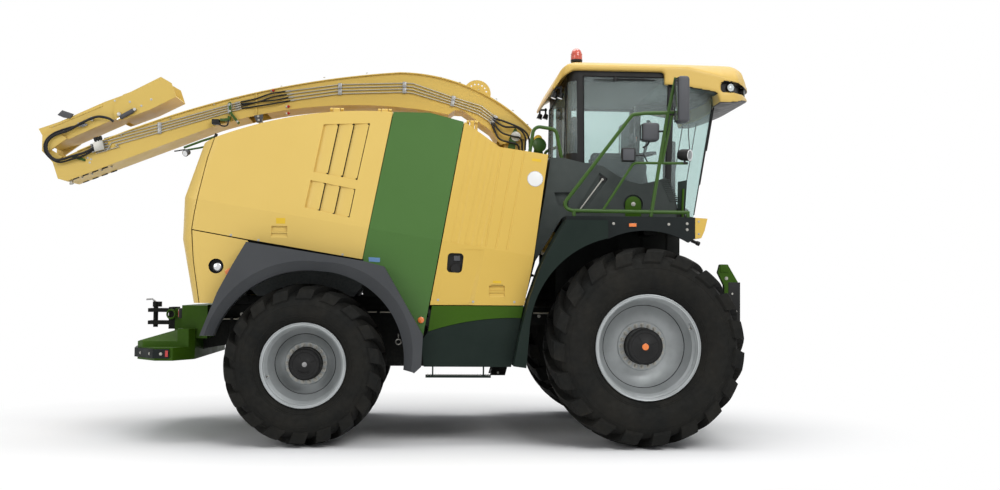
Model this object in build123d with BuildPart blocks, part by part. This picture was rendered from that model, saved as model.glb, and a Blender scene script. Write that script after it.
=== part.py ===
from build123d import *
import os
from math import atan2, cos, pi, sin, sqrt

# Self-propelled forage harvester in its road position. Millimetres, +X forward, +Y left, +Z up,
# with the origin on the ground below the middle of the machine.

os.makedirs("parts", exist_ok=True)

# Driving dimensions
WHEELBASE = 3268.0
FRONT_AXLE_X = 2420.0
REAR_AXLE_X = FRONT_AXLE_X - WHEELBASE

FRONT_TYRE_R = 965.0
FRONT_TYRE_W = 800.0
FRONT_RIM_R = 508.0
FRONT_WHEEL_Y = 1250.0
FRONT_LUGS = 19
FRONT_LUG_H = 55.0

REAR_TYRE_R = 773.0
REAR_TYRE_W = 710.0
REAR_RIM_R = 406.0
REAR_WHEEL_Y = 1135.0
REAR_LUGS = 18
REAR_LUG_H = 48.0

RIM_WALL = 12.0
RIM_LIP = 22.0
FLANGE_T = 14.0
RUN_GAP = 6.0

BODY_HALF_W = 1290.0
BODY_TOP_HALF_W = 1165.0
PANEL_T = 30.0
PANEL_GAP = 8.0
DECK_EDGE_Y = 1085.0
BODY_BOTTOM_Z = 1000.0
PANEL_BOTTOM_Z = 1352.0
BODY_FRONT_X = 1500.0
BODY_CORNER_R = 160.0

RAIL_Y = 310.0
RAIL_W = 90.0
RAIL_BOTTOM_Z = 1130.0
RAIL_H = 190.0

KINGPIN_Y = 880.0
KINGPIN_R = 45.0
STEER_ARM = 260.0

CAB_HALF_W = 880.0
CAB_WALL = 45.0
CAB_FLOOR_Z = 2219.0
CAB_TOP_Z = 3745.0
GLASS_T = 8.0
A_PILLAR_X = 2737.0
B_PILLAR_X = 1835.0
PILLAR_W = 60.0

DECK_Z = 2219.0
DECK_T = 40.0
DECK_Y = 1450.0
RAIL_TUBE_R = 18.0

SPOUT_HALF_W = 205.0
SPOUT_WALL = 16.0
SPOUT_AXIS_X = 1330.0
TURRET_R = 285.0
TURRET_Z = 2900.0


def side_plane(y):
    """Side-view sketch plane, X across and Z up, whose extrusions run from y to the right."""
    return Plane.XZ.offset(-y)


def prism(points, y_left, y_right, mode=Mode.ADD):
    """A side-view polygon filled from y_left across to y_right."""
    with BuildSketch(side_plane(y_left)) as face:
        with BuildLine():
            Polyline(*points, close=True)
        make_face()
    extrude(face.sketch, amount=y_left - y_right, mode=mode)


def both_prisms(points, y_out, y_in, mode=Mode.ADD):
    """The same side-view polygon on both sides of the machine."""
    prism(points, y_out, y_in, mode)
    prism(points, -y_in, -y_out, mode)


def block(x_range, y_range, z_range, mode=Mode.ADD):
    """A block given by its limits."""
    with Locations(((x_range[0] + x_range[1]) / 2, (y_range[0] + y_range[1]) / 2,
                    (z_range[0] + z_range[1]) / 2)):
        Box(x_range[1] - x_range[0], y_range[1] - y_range[0], z_range[1] - z_range[0], mode=mode)


def y_cylinder(x, z, radius, y_left, y_right, mode=Mode.ADD):
    """A cylinder along Y."""
    with BuildSketch(side_plane(y_left)) as face:
        with Locations((x, z)):
            Circle(radius)
    extrude(face.sketch, amount=y_left - y_right, mode=mode)


def z_cylinder(x, y, radius, z_low, z_high, mode=Mode.ADD):
    """A cylinder along Z."""
    with BuildSketch(Plane.XY.offset(z_low)) as face:
        with Locations((x, y)):
            Circle(radius)
    extrude(face.sketch, amount=z_high - z_low, mode=mode)


def x_cylinder(y, z, radius, x_low, x_high, mode=Mode.ADD):
    """A cylinder along X."""
    with BuildSketch(Plane.YZ.offset(x_low)) as face:
        with Locations((y, z)):
            Circle(radius)
    extrude(face.sketch, amount=x_high - x_low, mode=mode)


def rod(start, end, radius, mode=Mode.ADD):
    """A round bar between two points."""
    axis = Vector(*end) - Vector(*start)
    with BuildSketch(Plane(origin=start, z_dir=axis)) as face:
        Circle(radius)
    extrude(face.sketch, amount=axis.length, mode=mode)


def tube_path(points, radius, bend):
    """A round tube along points, with bends of the given radius."""
    with BuildLine() as path:
        FilletPolyline(*points, radius=bend)
    start = path.wires()[0] @ 0
    along = path.wires()[0] % 0
    with BuildSketch(Plane(origin=start, z_dir=along)) as ring:
        Circle(radius)
    sweep(ring.sketch, path=path.wires()[0])


def between(start, end, share):
    """The point that lies the given share of the way from start to end."""
    return tuple(a + (b - a) * share for a, b in zip(start, end))


def on_line(low, high, z):
    """X at height z on the side-view line through two points."""
    return low[0] + (high[0] - low[0]) * (z - low[1]) / (high[1] - low[1])


def prism_part(points, y_left, y_right, corner=0.0):
    """A side-view polygon filled across as a part of its own, its corners rounded if asked."""
    with BuildPart() as filled:
        with BuildSketch(side_plane(y_left)) as face:
            with BuildLine():
                Polyline(*points, close=True)
            make_face()
            if corner > 0:
                fillet(face.vertices(), radius=corner)
        extrude(face.sketch, amount=y_left - y_right)
    return filled.part


def leaf_hinge(axis_y, axis_z, x_range, leaf_y, leaf_z):
    """A hinge knuckle along X with the leaf that stands on its panel."""
    with BuildPart() as knuckle:
        x_cylinder(axis_y, axis_z, HINGE_R, *x_range)
        block(x_range, sorted(leaf_y), (leaf_z, axis_z))
    return knuckle.part


def finish_pair(right_part, name):
    """Write a right-hand piece and its mirror image."""
    finish(right_part, f"{name}_right")
    finish(mirror(right_part, about=Plane.XZ), f"{name}_left")


def finish(part, name):
    """Label one piece and write it."""
    part.label = name
    export_step(part, f"parts/{name}.step")


# Hood volume: four rounded plan sections, the third on the plane of the style crease.
# columns: height at X = 0, slope of the section, rear edge X, half width
CREASE_SLOPE = -0.158
CREASE_Z0 = 2045.0
HOOD_SECTIONS = (
    (BODY_BOTTOM_Z, 0.0, -1860.0, BODY_HALF_W),
    (1760.0, -0.10, -2040.0, BODY_HALF_W),
    (CREASE_Z0, CREASE_SLOPE, -2030.0, BODY_HALF_W),
    (3330.0, 0.0, -1740.0, BODY_TOP_HALF_W - 15.0),
)


def hood_top(inset):
    """Side-view area below the hood's roof line."""
    with BuildSketch(Plane.XZ.offset(-2000)) as area:
        with BuildLine():
            rear = Line((-2600, 0), (-2600, 2600))
            rise = Line(rear @ 1, (-1850, 2905 - inset))
            arch = ThreePointArc(rise @ 1, (-960, 3180 - inset), (-31, 3237 - inset))
            crown = Line(arch @ 1, (323, 3237 - inset))
            Polyline(crown @ 1, (673, 3148 - inset), (1017, 2905 - inset), (1500, 2838 - inset),
                     (1700, 2810 - inset), (1700, 0), (-2600, 0))
        make_face()
    return extrude(area.sketch, amount=4000)


def hood_volume(inset):
    """Closed hood volume with its walls moved inwards by inset."""
    below_roof = hood_top(inset)
    with BuildPart() as volume:
        for z0, slope, rear_x, half_w in HOOD_SECTIONS:
            tilt = atan2(slope, 1)
            with BuildSketch(Plane(origin=(0, 0, z0), x_dir=(cos(tilt), 0, sin(tilt)),
                                   z_dir=(-sin(tilt), 0, cos(tilt)))):
                with BuildLine():
                    rear = (rear_x + inset) / cos(tilt)
                    front = BODY_FRONT_X / cos(tilt)
                    side = half_w - inset
                    corner = BODY_CORNER_R - inset
                    cut = corner * (1 - sqrt(0.5))
                    right = Line((front, -side), (rear + corner, -side))
                    turn = ThreePointArc(right @ 1, (rear + cut, -side + cut),
                                         (rear, -side + corner))
                    back = Line(turn @ 1, (rear, side - corner))
                    turn2 = ThreePointArc(back @ 1, (rear + cut, side - cut),
                                          (rear + corner, side))
                    left = Line(turn2 @ 1, (front, side))
                    Line(left @ 1, right @ 0)
                make_face()
        loft(ruled=True)
        add(below_roof, mode=Mode.INTERSECT)
    return volume.part


def hood_half_width(x, z):
    """Half width of the hood's outer skin above the crease."""
    low = CREASE_Z0 + CREASE_SLOPE * x
    high, top_half = HOOD_SECTIONS[-1][0], HOOD_SECTIONS[-1][3]
    return BODY_HALF_W + (top_half - BODY_HALF_W) * (z - low) / (high - low)


HOOD_SKIN = hood_volume(0) - hood_volume(PANEL_T)

# Gap line in front of the rear hood in the side view, X and Z
TAIL_GAP = ((-1741, 2990), (-1810, 2751), (-1867, 2458), (-1915, 2199), (-1936, 2056),
            (-1916, 1761), (-1854, 1343), (-1800, 990))

# Hinges of the side panels, each a moving knuckle between two fixed ones
# columns: height of the axis, X of the moving knuckle's ends, foot of its leaf
HINGE_R = 14.0
HINGE_Y = 1080.0
HINGE_GAP = 8.0
FIXED_KNUCKLE = 28.0
LEAF_Y = (HINGE_Y + 7, HINGE_Y + 45)
DECK_LEAF_Y = (HINGE_Y - 45, HINGE_Y - 5)
ENGINE_HINGES = ((3264.0, (-150, -90), 3205), (3264.0, (-620, -560), 3195))
SERVICE_HINGES = ((3165.0, (722, 762), 3050),)

# Engine panels, louvred, hinged along the roof edge on each side
ENGINE_PANEL = tuple((x + PANEL_GAP, z) for x, z in TAIL_GAP[:4]) + (
    (TAIL_GAP[4][0] + PANEL_GAP, TAIL_GAP[4][1]), (-1405, 1965), (-304 - PANEL_GAP, 1785),
    (-20 - PANEL_GAP, 3300), (TAIL_GAP[0][0] + PANEL_GAP, 3300))
SCOOP_SLIT = 20.0
SCOOP_T = 5.0
# columns: corners of each louvre window from the upper rear one round, number of scoops
LOUVRES = (
    (((-709, 3100), (-260, 3120), (-372, 2553), (-794, 2629)), 3),
    (((-819, 2546), (-388, 2464), (-440, 2186), (-869, 2279)), 3),
)
SKIN_RANGE = (-DECK_EDGE_Y, -BODY_HALF_W - 10)


def scoop(rear, front):
    """One curved scoop between two side-view lines, deep at the rear and open at its front edge."""
    low_z, high_z = rear[0][1] - 60, rear[1][1] + 60
    with BuildPart() as slat:
        for z in (low_z, high_z):
            x_rear, x_front = on_line(*rear, z), on_line(*front, z) - SCOOP_SLIT
            x_mid = (x_rear + x_front) / 2
            skin = -hood_half_width(x_mid, z)
            with BuildSketch(Plane.XY.offset(z)):
                with BuildLine():
                    outer = ThreePointArc((x_rear, skin + PANEL_T - SCOOP_T), (x_mid, skin + 11),
                                          (x_front, skin + 5))
                    edge = Line(outer @ 1, (x_front, skin + 5 + SCOOP_T))
                    inner = ThreePointArc(edge @ 1, (x_mid, skin + 11 + SCOOP_T),
                                          (x_rear, skin + PANEL_T))
                    Line(inner @ 1, outer @ 0)
                make_face()
        loft(ruled=True)
    return slat.part


def handle_pocket(x, z):
    """Cutter for a sloped pull recess in the lower side wall, with its bar left standing."""
    with BuildPart() as pocket:
        with BuildSketch(Plane.YZ.offset(x - HANDLE_W / 2)) as wedge:
            with BuildLine():
                Polyline((-BODY_HALF_W - 5, z + HANDLE_H / 2), (-BODY_HALF_W + 20, z + HANDLE_H / 2),
                         (-BODY_HALF_W + 12, z - HANDLE_H / 4), (-BODY_HALF_W - 5, z - HANDLE_H / 2),
                         close=True)
            make_face()
        extrude(wedge.sketch, amount=HANDLE_W)
        block((x - HANDLE_W, x + HANDLE_W), (-BODY_HALF_W + 4, -BODY_HALF_W + 12), (z - 8, z + 8),
              mode=Mode.SUBTRACT)
    return pocket.part


HANDLE_W, HANDLE_H = 150.0, 120.0
engine_panel = (HOOD_SKIN & prism_part(ENGINE_PANEL, *SKIN_RANGE)) - handle_pocket(-1106, 2035)
for corners, count in LOUVRES:
    engine_panel = engine_panel - prism_part(corners, *SKIN_RANGE)
    middle = between(between(corners[0], corners[2], 0.5), between(corners[1], corners[3], 0.5), 0.5)
    grown = prism_part([between(middle, corner, 1.02) for corner in corners], *SKIN_RANGE)
    for i in range(count):
        rear = [between(corners[k], corners[k ^ 1], i / count) for k in (3, 0)]
        front = [between(corners[k], corners[k ^ 1], (i + 1) / count) for k in (3, 0)]
        engine_panel = engine_panel + (scoop(rear, front) & grown)
for axis_z, x_range, foot_z in ENGINE_HINGES:
    engine_panel = engine_panel + leaf_hinge(-HINGE_Y, axis_z, x_range, [-y for y in LEAF_Y], foot_z)
finish_pair(engine_panel, "engine_panel")

# Service panels, ribbed above the crease, with a pull recess and the filler opening
SERVICE_PANEL = ((676 + PANEL_GAP, 3260), (1500, 3260), (1494, 2850), (1342, 1795), (1258, 1365),
                 (1256, PANEL_BOTTOM_Z), (336 + PANEL_GAP, PANEL_BOTTOM_Z))
# columns: upper X and Z, lower X and Z, radius of the groove's tool, depth of the groove
RIBS = (
    (780, 3039, 575, 1960, 90.0, 9.0),
    (910, 2955, 704, 1945, 90.0, 9.0),
    (995, 2870, 804, 1930, 70.0, 8.0),
    (1040, 2907, 876, 1925, 14.0, 5.0),
    (1156, 2887, 976, 1905, 14.0, 5.0),
    (1257, 2874, 1084, 1890, 14.0, 5.0),
)
FILLER_HOLE = ((512, 1856), (668, 1852), (646, 1662), (500, 1668))
STEP_LINE = ((717, PANEL_BOTTOM_Z), (834, 1890))
with BuildPart() as groove_tools:
    for x_top, z_top, x_low, z_low, tool_r, depth in RIBS:
        x_over, z_over = between((x_low, z_low), (x_top, z_top), 1.15)
        rod((x_low, -hood_half_width(x_low, z_low) - tool_r + depth, z_low),
            (x_over, -hood_half_width(x_over, z_over) - tool_r + depth, z_over), tool_r)
with BuildPart() as dish_tool:
    for z, depth in ((PANEL_BOTTOM_Z - 2, 22.0), (1890, 6.0)):
        x_step = on_line(*STEP_LINE, z)
        with BuildSketch(Plane.XY.offset(z)):
            with BuildLine():
                Polyline((on_line((336, 1352), (440, 1932), z) + 40, -BODY_HALF_W - 2),
                         (x_step, -BODY_HALF_W + depth), (x_step + 45, -BODY_HALF_W - 2), close=True)
            make_face()
    loft(ruled=True)
service_panel = (HOOD_SKIN & prism_part(SERVICE_PANEL, *SKIN_RANGE)) - groove_tools.part
service_panel = service_panel - dish_tool.part - handle_pocket(989, 1482)
service_panel = service_panel - prism_part(FILLER_HOLE, *SKIN_RANGE, corner=38)
for axis_z, x_range, foot_z in SERVICE_HINGES:
    service_panel = service_panel + leaf_hinge(-HINGE_Y, axis_z, x_range, [-y for y in LEAF_Y],
                                               foot_z)
finish_pair(service_panel, "service_panel")

# Green side panels between the two, one solid on each side
GREEN_PANEL = ((-20, 3300), (676, 3300), (676, 3260), (280, 1052), (-110, 1640), (-290, 1690),
               (-304, 1800))
TUCK_Z = 1480.0
with BuildPart() as green_side_panels:
    add(HOOD_SKIN)
    prism(GREEN_PANEL, BODY_HALF_W + 10, -BODY_HALF_W - 10, mode=Mode.INTERSECT)
    block((-400, 800), (-DECK_EDGE_Y, DECK_EDGE_Y), (900, 3400), mode=Mode.SUBTRACT)
    # lower edge tucked inwards
    for side in (-1, 1):
        with BuildSketch(Plane.YZ.offset(-400)) as tuck:
            with BuildLine():
                Polyline((side * (BODY_HALF_W + 2), TUCK_Z), (side * (BODY_HALF_W + 2), 1040),
                         (side * (BODY_HALF_W - 16), 1040), (side * (BODY_HALF_W - 1), TUCK_Z),
                         close=True)
            make_face()
        extrude(tuck.sketch, amount=1000, mode=Mode.SUBTRACT)
finish(green_side_panels.part, "green_side_panels")

# Lower rear side panels, one solid on each side, with the round filler opening
REAR_SIDE_PANEL = ((-1933 + PANEL_GAP, 2046), (-1405, 1953), (-1360, 1880), (-1460, 1722),
                   (-1600, 1456), (-1650, PANEL_BOTTOM_Z), (-1856 + PANEL_GAP, PANEL_BOTTOM_Z),
                   (-1916 + PANEL_GAP, 1761))
FILLER_X, FILLER_Z, FILLER_R = -1695.0, 1706.0, 71.0
with BuildPart() as rear_side_panels:
    add(HOOD_SKIN)
    prism(REAR_SIDE_PANEL, BODY_HALF_W + 10, -BODY_HALF_W - 10, mode=Mode.INTERSECT)
    y_cylinder(FILLER_X, FILLER_Z, FILLER_R, BODY_HALF_W + 10, -BODY_HALF_W - 10,
               mode=Mode.SUBTRACT)
finish(rear_side_panels.part, "rear_side_panels")

# Rear hood, hinged at its top edge
TAIL_REGION = ((-2300, 3300), (-1752, 3300)) + tuple((x - 1, z) for x, z in TAIL_GAP[:-2])
TAIL_REGION = TAIL_REGION + ((-1857, PANEL_BOTTOM_Z), (-2300, PANEL_BOTTOM_Z))
TAIL_SLOTS = 12
TAIL_SLOT_Z = 1520.0
TAIL_SLOT_PITCH = 84.0
TAIL_HINGE_X, TAIL_HINGE_Z = -1745.0, 2995.0
TAIL_HINGES_Y = (-730, 670)
with BuildPart() as rear_hood:
    add(HOOD_SKIN)
    prism(TAIL_REGION, BODY_HALF_W + 10, -BODY_HALF_W - 10, mode=Mode.INTERSECT)
    # radiator grille: two columns of slots through the tail
    for i in range(TAIL_SLOTS):
        z = TAIL_SLOT_Z + i * TAIL_SLOT_PITCH
        for y_low in (-780, 30):
            block((-2300, -1700), (y_low, y_low + 750), (z, z + 36), mode=Mode.SUBTRACT)
    for y_low in TAIL_HINGES_Y:
        y_cylinder(TAIL_HINGE_X, TAIL_HINGE_Z, HINGE_R, y_low + 60, y_low)
        block((TAIL_HINGE_X - 40, TAIL_HINGE_X - 8), (y_low, y_low + 60), (2931, TAIL_HINGE_Z))
finish(rear_hood.part, "rear_hood")

# Roof deck between the panels, open round the discharge tower
DECK_REGION = ((-1741 + PANEL_GAP, 3400), (-1741 + PANEL_GAP, 2990), (-1770, 2880), (-1200, 2900),
               (400, 2900), (900, 2700), (1494, 2700), (1494, 3400))
with BuildPart() as top_deck:
    add(HOOD_SKIN)
    prism(DECK_REGION, DECK_EDGE_Y - PANEL_GAP, -DECK_EDGE_Y + PANEL_GAP, mode=Mode.INTERSECT)
    block((1010, 1600), (-TURRET_R - 40, TURRET_R + 40), (2600, 3400), mode=Mode.SUBTRACT)
    # fixed knuckles of the panel hinges and of the rear hood
    for axis_z, (x_low, x_high), foot_z in ENGINE_HINGES + SERVICE_HINGES:
        for x in (x_low - HINGE_GAP - FIXED_KNUCKLE, x_high + HINGE_GAP):
            for side in (-1, 1):
                add(leaf_hinge(side * HINGE_Y, axis_z, (x, x + FIXED_KNUCKLE),
                               [side * y for y in DECK_LEAF_Y], foot_z - 10))
    for y_low in TAIL_HINGES_Y:
        for y in (y_low - HINGE_GAP - FIXED_KNUCKLE, y_low + 60 + HINGE_GAP):
            y_cylinder(TAIL_HINGE_X, TAIL_HINGE_Z, HINGE_R, y + FIXED_KNUCKLE, y)
            block((TAIL_HINGE_X + 8, TAIL_HINGE_X + 50), (y, y + FIXED_KNUCKLE),
                  (2935, TAIL_HINGE_Z))
finish(top_deck.part, "top_deck")

# Rear fenders: closed forms over the rear wheels, the arch rolled outwards at its lip
FENDER_Y = 1480.0
FENDER_LIP = 75.0
# columns: lip X, lip Z at the outer face; throat X, throat Z inside it
ARCH = (((171, 735), (-55, 1485), (-705, 1752)), ((96, 735), (-135, 1412), (-705, 1665)),
        ((-1420, 1560), (-1756, 1058)), ((-1365, 1488), (-1690, 1046)))


def fender_outline(y, front_arc, rear_arc):
    """Side-view area of a rear fender at the given y."""
    with BuildSketch(side_plane(y)) as area:
        with BuildLine():
            outer = Polyline(rear_arc[1], (-1802, 1049), (-1645, 1460), (-1505, 1726), (-1386, 1933),
                             (-295, 1765), (-95, 1714), (280, 1066), (265, 768), (199, 707),
                             front_arc[0])
            front = ThreePointArc(outer @ 1, front_arc[1], front_arc[2])
            ThreePointArc(front @ 1, rear_arc[0], rear_arc[1])
        make_face()
    return area.sketch


FENDER_SECTIONS = [fender_outline(-BODY_HALF_W, ARCH[1], ARCH[3]),
                   fender_outline(-FENDER_Y + FENDER_LIP, ARCH[1], ARCH[3]),
                   fender_outline(-FENDER_Y, ARCH[0], ARCH[2])]
with BuildPart() as right_fender:
    loft(FENDER_SECTIONS, ruled=True)
with BuildPart() as rear_fenders:
    add(right_fender.part)
    add(mirror(right_fender.part, about=Plane.XZ))
finish(rear_fenders.part, "rear_fenders")

# Front fender on the right-hand side; the ladder stands in its place on the left
with BuildPart() as front_fender:
    with BuildSketch(side_plane(-1150)) as band:
        with BuildLine():
            outer = Polyline((1142, 777), (1196, 1066), (1285, 1418), (1378, 1687), (1433, 1819),
                             (1552, 2035), (1640, 2179), (2040, 2179), (2040, 2005))
            arch_top = ThreePointArc((2040, 2005), (1500, 1671), (1290, 1108))
            Polyline(arch_top @ 1, (1262, 761), (1142, 777))
        make_face()
    extrude(band.sketch, amount=350)
finish(front_fender.part, "front_fender")

# Skirts below the side panels: a green upper band, the dark lower part and a step bar
SKIRT_Y = (BODY_HALF_W, BODY_HALF_W - PANEL_T)
SKIRT_LOW = ((328, 1092), (262, 1000), (290, 757), (1133, 757), (1226, 1227))
with BuildPart() as skirt_tops:
    for y_left in (SKIRT_Y[0], -SKIRT_Y[1]):
        with BuildSketch(side_plane(y_left)) as band:
            with BuildLine():
                edge = ThreePointArc((328, 1096), (760, 1201), (1227, 1231))
                Polyline(edge @ 1, (1250, 1344), (363, 1344), edge @ 0)
            make_face()
        extrude(band.sketch, amount=PANEL_T)
finish(skirt_tops.part, "skirt_tops")

with BuildPart() as side_skirts:
    for y_left in (SKIRT_Y[0], -SKIRT_Y[1]):
        with BuildSketch(side_plane(y_left)) as band:
            with BuildLine():
                edge = ThreePointArc(SKIRT_LOW[0], (760, 1197), SKIRT_LOW[-1])
                Polyline(edge @ 1, *SKIRT_LOW[-2:0:-1], edge @ 0)
            make_face()
        extrude(band.sketch, amount=PANEL_T)
    for side in (-1, 1):
        for x in (370, 860):
            block((x, x + 14), sorted((side * (BODY_HALF_W - PANEL_T), side * (BODY_HALF_W - 6))),
                  (672, 760))
        block((308, 938), sorted((side * (BODY_HALF_W - 110), side * BODY_HALF_W)), (652, 674))
finish(side_skirts.part, "side_skirts")

# Fuel tanks behind the skirts
with BuildPart() as fuel_tanks:
    for y_low in (-BODY_HALF_W + PANEL_T + 10, 480.0):
        block((330, 1120), (y_low, y_low + 770), (800, 1340))
    edges = fuel_tanks.edges().filter_by(Axis.X)
    fillet(edges, radius=70)
finish(fuel_tanks.part, "fuel_tanks")

# Engine: one plain block
with BuildPart() as engine_block:
    block((-1500, -350), (-600, 600), (1420, 2450))
    chamfer(engine_block.edges().filter_by(Axis.Y), length=90)
finish(engine_block.part, "engine_block")

# Chassis frame: two rails, cross members and the uprights below the cab
RAIL_TOP_Z = RAIL_BOTTOM_Z + RAIL_H
with BuildPart() as chassis_frame:
    for y in (-RAIL_Y, RAIL_Y):
        block((-1960, 2600), (y - RAIL_W / 2, y + RAIL_W / 2), (RAIL_BOTTOM_Z, RAIL_TOP_Z))
        for x in (1800, 2470):
            block((x, x + 120), (y - RAIL_W / 2, y + RAIL_W / 2), (RAIL_TOP_Z, DECK_Z - DECK_T))
    for x in (-1960, 200, 1000):
        block((x, x + 100), (-RAIL_Y, RAIL_Y), (RAIL_BOTTOM_Z, RAIL_TOP_Z))
    for x in (1800, 2470):
        block((x, x + 120), (-1100, 1100), (DECK_Z - DECK_T - 120, DECK_Z - DECK_T))
    # engine mounts
    for x in (-1400, -500):
        block((x, x + 90), (-RAIL_Y, RAIL_Y), (RAIL_TOP_Z, 1420))
    # outriggers that carry the skirts, tanks and side panels
    for x in (302, 1120):
        for y_low in (-BODY_HALF_W + PANEL_T, RAIL_Y):
            block((x, x + 28), (y_low, y_low + BODY_HALF_W - PANEL_T - RAIL_Y), (1150, 1230))
    # portal that carries the roof deck and the green panels
    for side in (-1, 1):
        block((100, 160), sorted((side * RAIL_Y, side * 1060)), (1150, 1230))
        block((100, 160), sorted((side * 1000, side * 1060)), (1150, 3237 - PANEL_T))
        block((100, 160), sorted((side * 1060, side * (BODY_HALF_W - PANEL_T))), (1480, 1540))
finish(chassis_frame.part, "chassis_frame")

# Front axle: housing, differential and spindles for the hubs
FRONT_AXLE_Z = FRONT_TYRE_R
REAR_AXLE_Z = REAR_TYRE_R
FRONT_HUB_Y = 1000.0
FRONT_SPINDLE_END = 1250.0
with BuildPart() as front_axle:
    block((FRONT_AXLE_X - 120, FRONT_AXLE_X + 120), (-760, 760),
          (FRONT_AXLE_Z - 130, FRONT_AXLE_Z + 130))
    y_cylinder(FRONT_AXLE_X, FRONT_AXLE_Z, 165, FRONT_HUB_Y, -FRONT_HUB_Y)
    y_cylinder(FRONT_AXLE_X, FRONT_AXLE_Z, 60, FRONT_SPINDLE_END, -FRONT_SPINDLE_END)
    for y in (-RAIL_Y, RAIL_Y):
        block((FRONT_AXLE_X - 110, FRONT_AXLE_X + 110), (y - RAIL_W / 2, y + RAIL_W / 2),
              (FRONT_AXLE_Z + 130, RAIL_BOTTOM_Z))
finish(front_axle.part, "front_axle")

# Rear axle: beam with a fork at each end for the steering knuckle
FORK_TOP = 150.0
FORK_T = 45.0
REAR_BEAM_END = KINGPIN_Y - 110
with BuildPart() as rear_axle:
    block((REAR_AXLE_X - 90, REAR_AXLE_X + 90), (-REAR_BEAM_END, REAR_BEAM_END),
          (REAR_AXLE_Z - 100, REAR_AXLE_Z + 100))
    for side in (-1, 1):
        for z in (-FORK_TOP, FORK_TOP - FORK_T):
            block((REAR_AXLE_X - 80, REAR_AXLE_X + 80),
                  sorted((side * (REAR_BEAM_END - 80), side * (KINGPIN_Y + 70))),
                  (REAR_AXLE_Z + z, REAR_AXLE_Z + z + FORK_T))
        block((REAR_AXLE_X - 80, REAR_AXLE_X + 80),
              sorted((side * (REAR_BEAM_END - 80), side * REAR_BEAM_END)),
              (REAR_AXLE_Z - FORK_TOP, REAR_AXLE_Z + FORK_TOP))
        z_cylinder(REAR_AXLE_X, side * KINGPIN_Y, KINGPIN_R, REAR_AXLE_Z - FORK_TOP,
                   REAR_AXLE_Z + FORK_TOP)
    # pendulum bearing up to the rails
    block((REAR_AXLE_X - 130, REAR_AXLE_X + 130), (-150, 150), (REAR_AXLE_Z + 100, RAIL_BOTTOM_Z))
    block((REAR_AXLE_X - 130, REAR_AXLE_X + 130), (-RAIL_Y + RAIL_W / 2, RAIL_Y - RAIL_W / 2),
          (RAIL_BOTTOM_Z, RAIL_BOTTOM_Z + 60))
finish(rear_axle.part, "rear_axle")

# Steering knuckles: a bush on the kingpin, a spindle outwards and a steering arm to the rear
KNUCKLE_H = 2 * (FORK_TOP - FORK_T) - 4
REAR_SPINDLE_END = REAR_WHEEL_Y + 20
ARM_Z = REAR_AXLE_Z - 60
for side_name, side in (("right", -1), ("left", 1)):
    with BuildPart() as knuckle:
        z_cylinder(REAR_AXLE_X, side * KINGPIN_Y, 75, REAR_AXLE_Z - KNUCKLE_H / 2,
                   REAR_AXLE_Z + KNUCKLE_H / 2)
        y_low, y_high = sorted((side * KINGPIN_Y, side * REAR_SPINDLE_END))
        y_cylinder(REAR_AXLE_X, REAR_AXLE_Z, 55, y_high, y_low)
        y_low, y_high = sorted((side * KINGPIN_Y, side * (KINGPIN_Y + 130)))
        y_cylinder(REAR_AXLE_X, REAR_AXLE_Z, 85, y_high, y_low)
        y_low, y_high = sorted((side * (KINGPIN_Y - 25), side * (KINGPIN_Y + 25)))
        block((REAR_AXLE_X - STEER_ARM - 30, REAR_AXLE_X), (y_low, y_high),
              (ARM_Z - 20, ARM_Z + 20))
        z_cylinder(REAR_AXLE_X, side * KINGPIN_Y, KINGPIN_R + 1, REAR_AXLE_Z - FORK_TOP,
                   REAR_AXLE_Z + FORK_TOP, mode=Mode.SUBTRACT)
    finish(knuckle.part, f"knuckle_{side_name}")

# Tie rod behind the rear axle, above the two arms
with BuildPart() as tie_rod:
    y_cylinder(REAR_AXLE_X - STEER_ARM, ARM_Z - 62, 22, KINGPIN_Y - 10, -KINGPIN_Y + 10)
    for side in (-1, 1):
        z_cylinder(REAR_AXLE_X - STEER_ARM, side * KINGPIN_Y, 32, ARM_Z - 90, ARM_Z - 34)
finish(tie_rod.part, "tie_rod")


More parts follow.
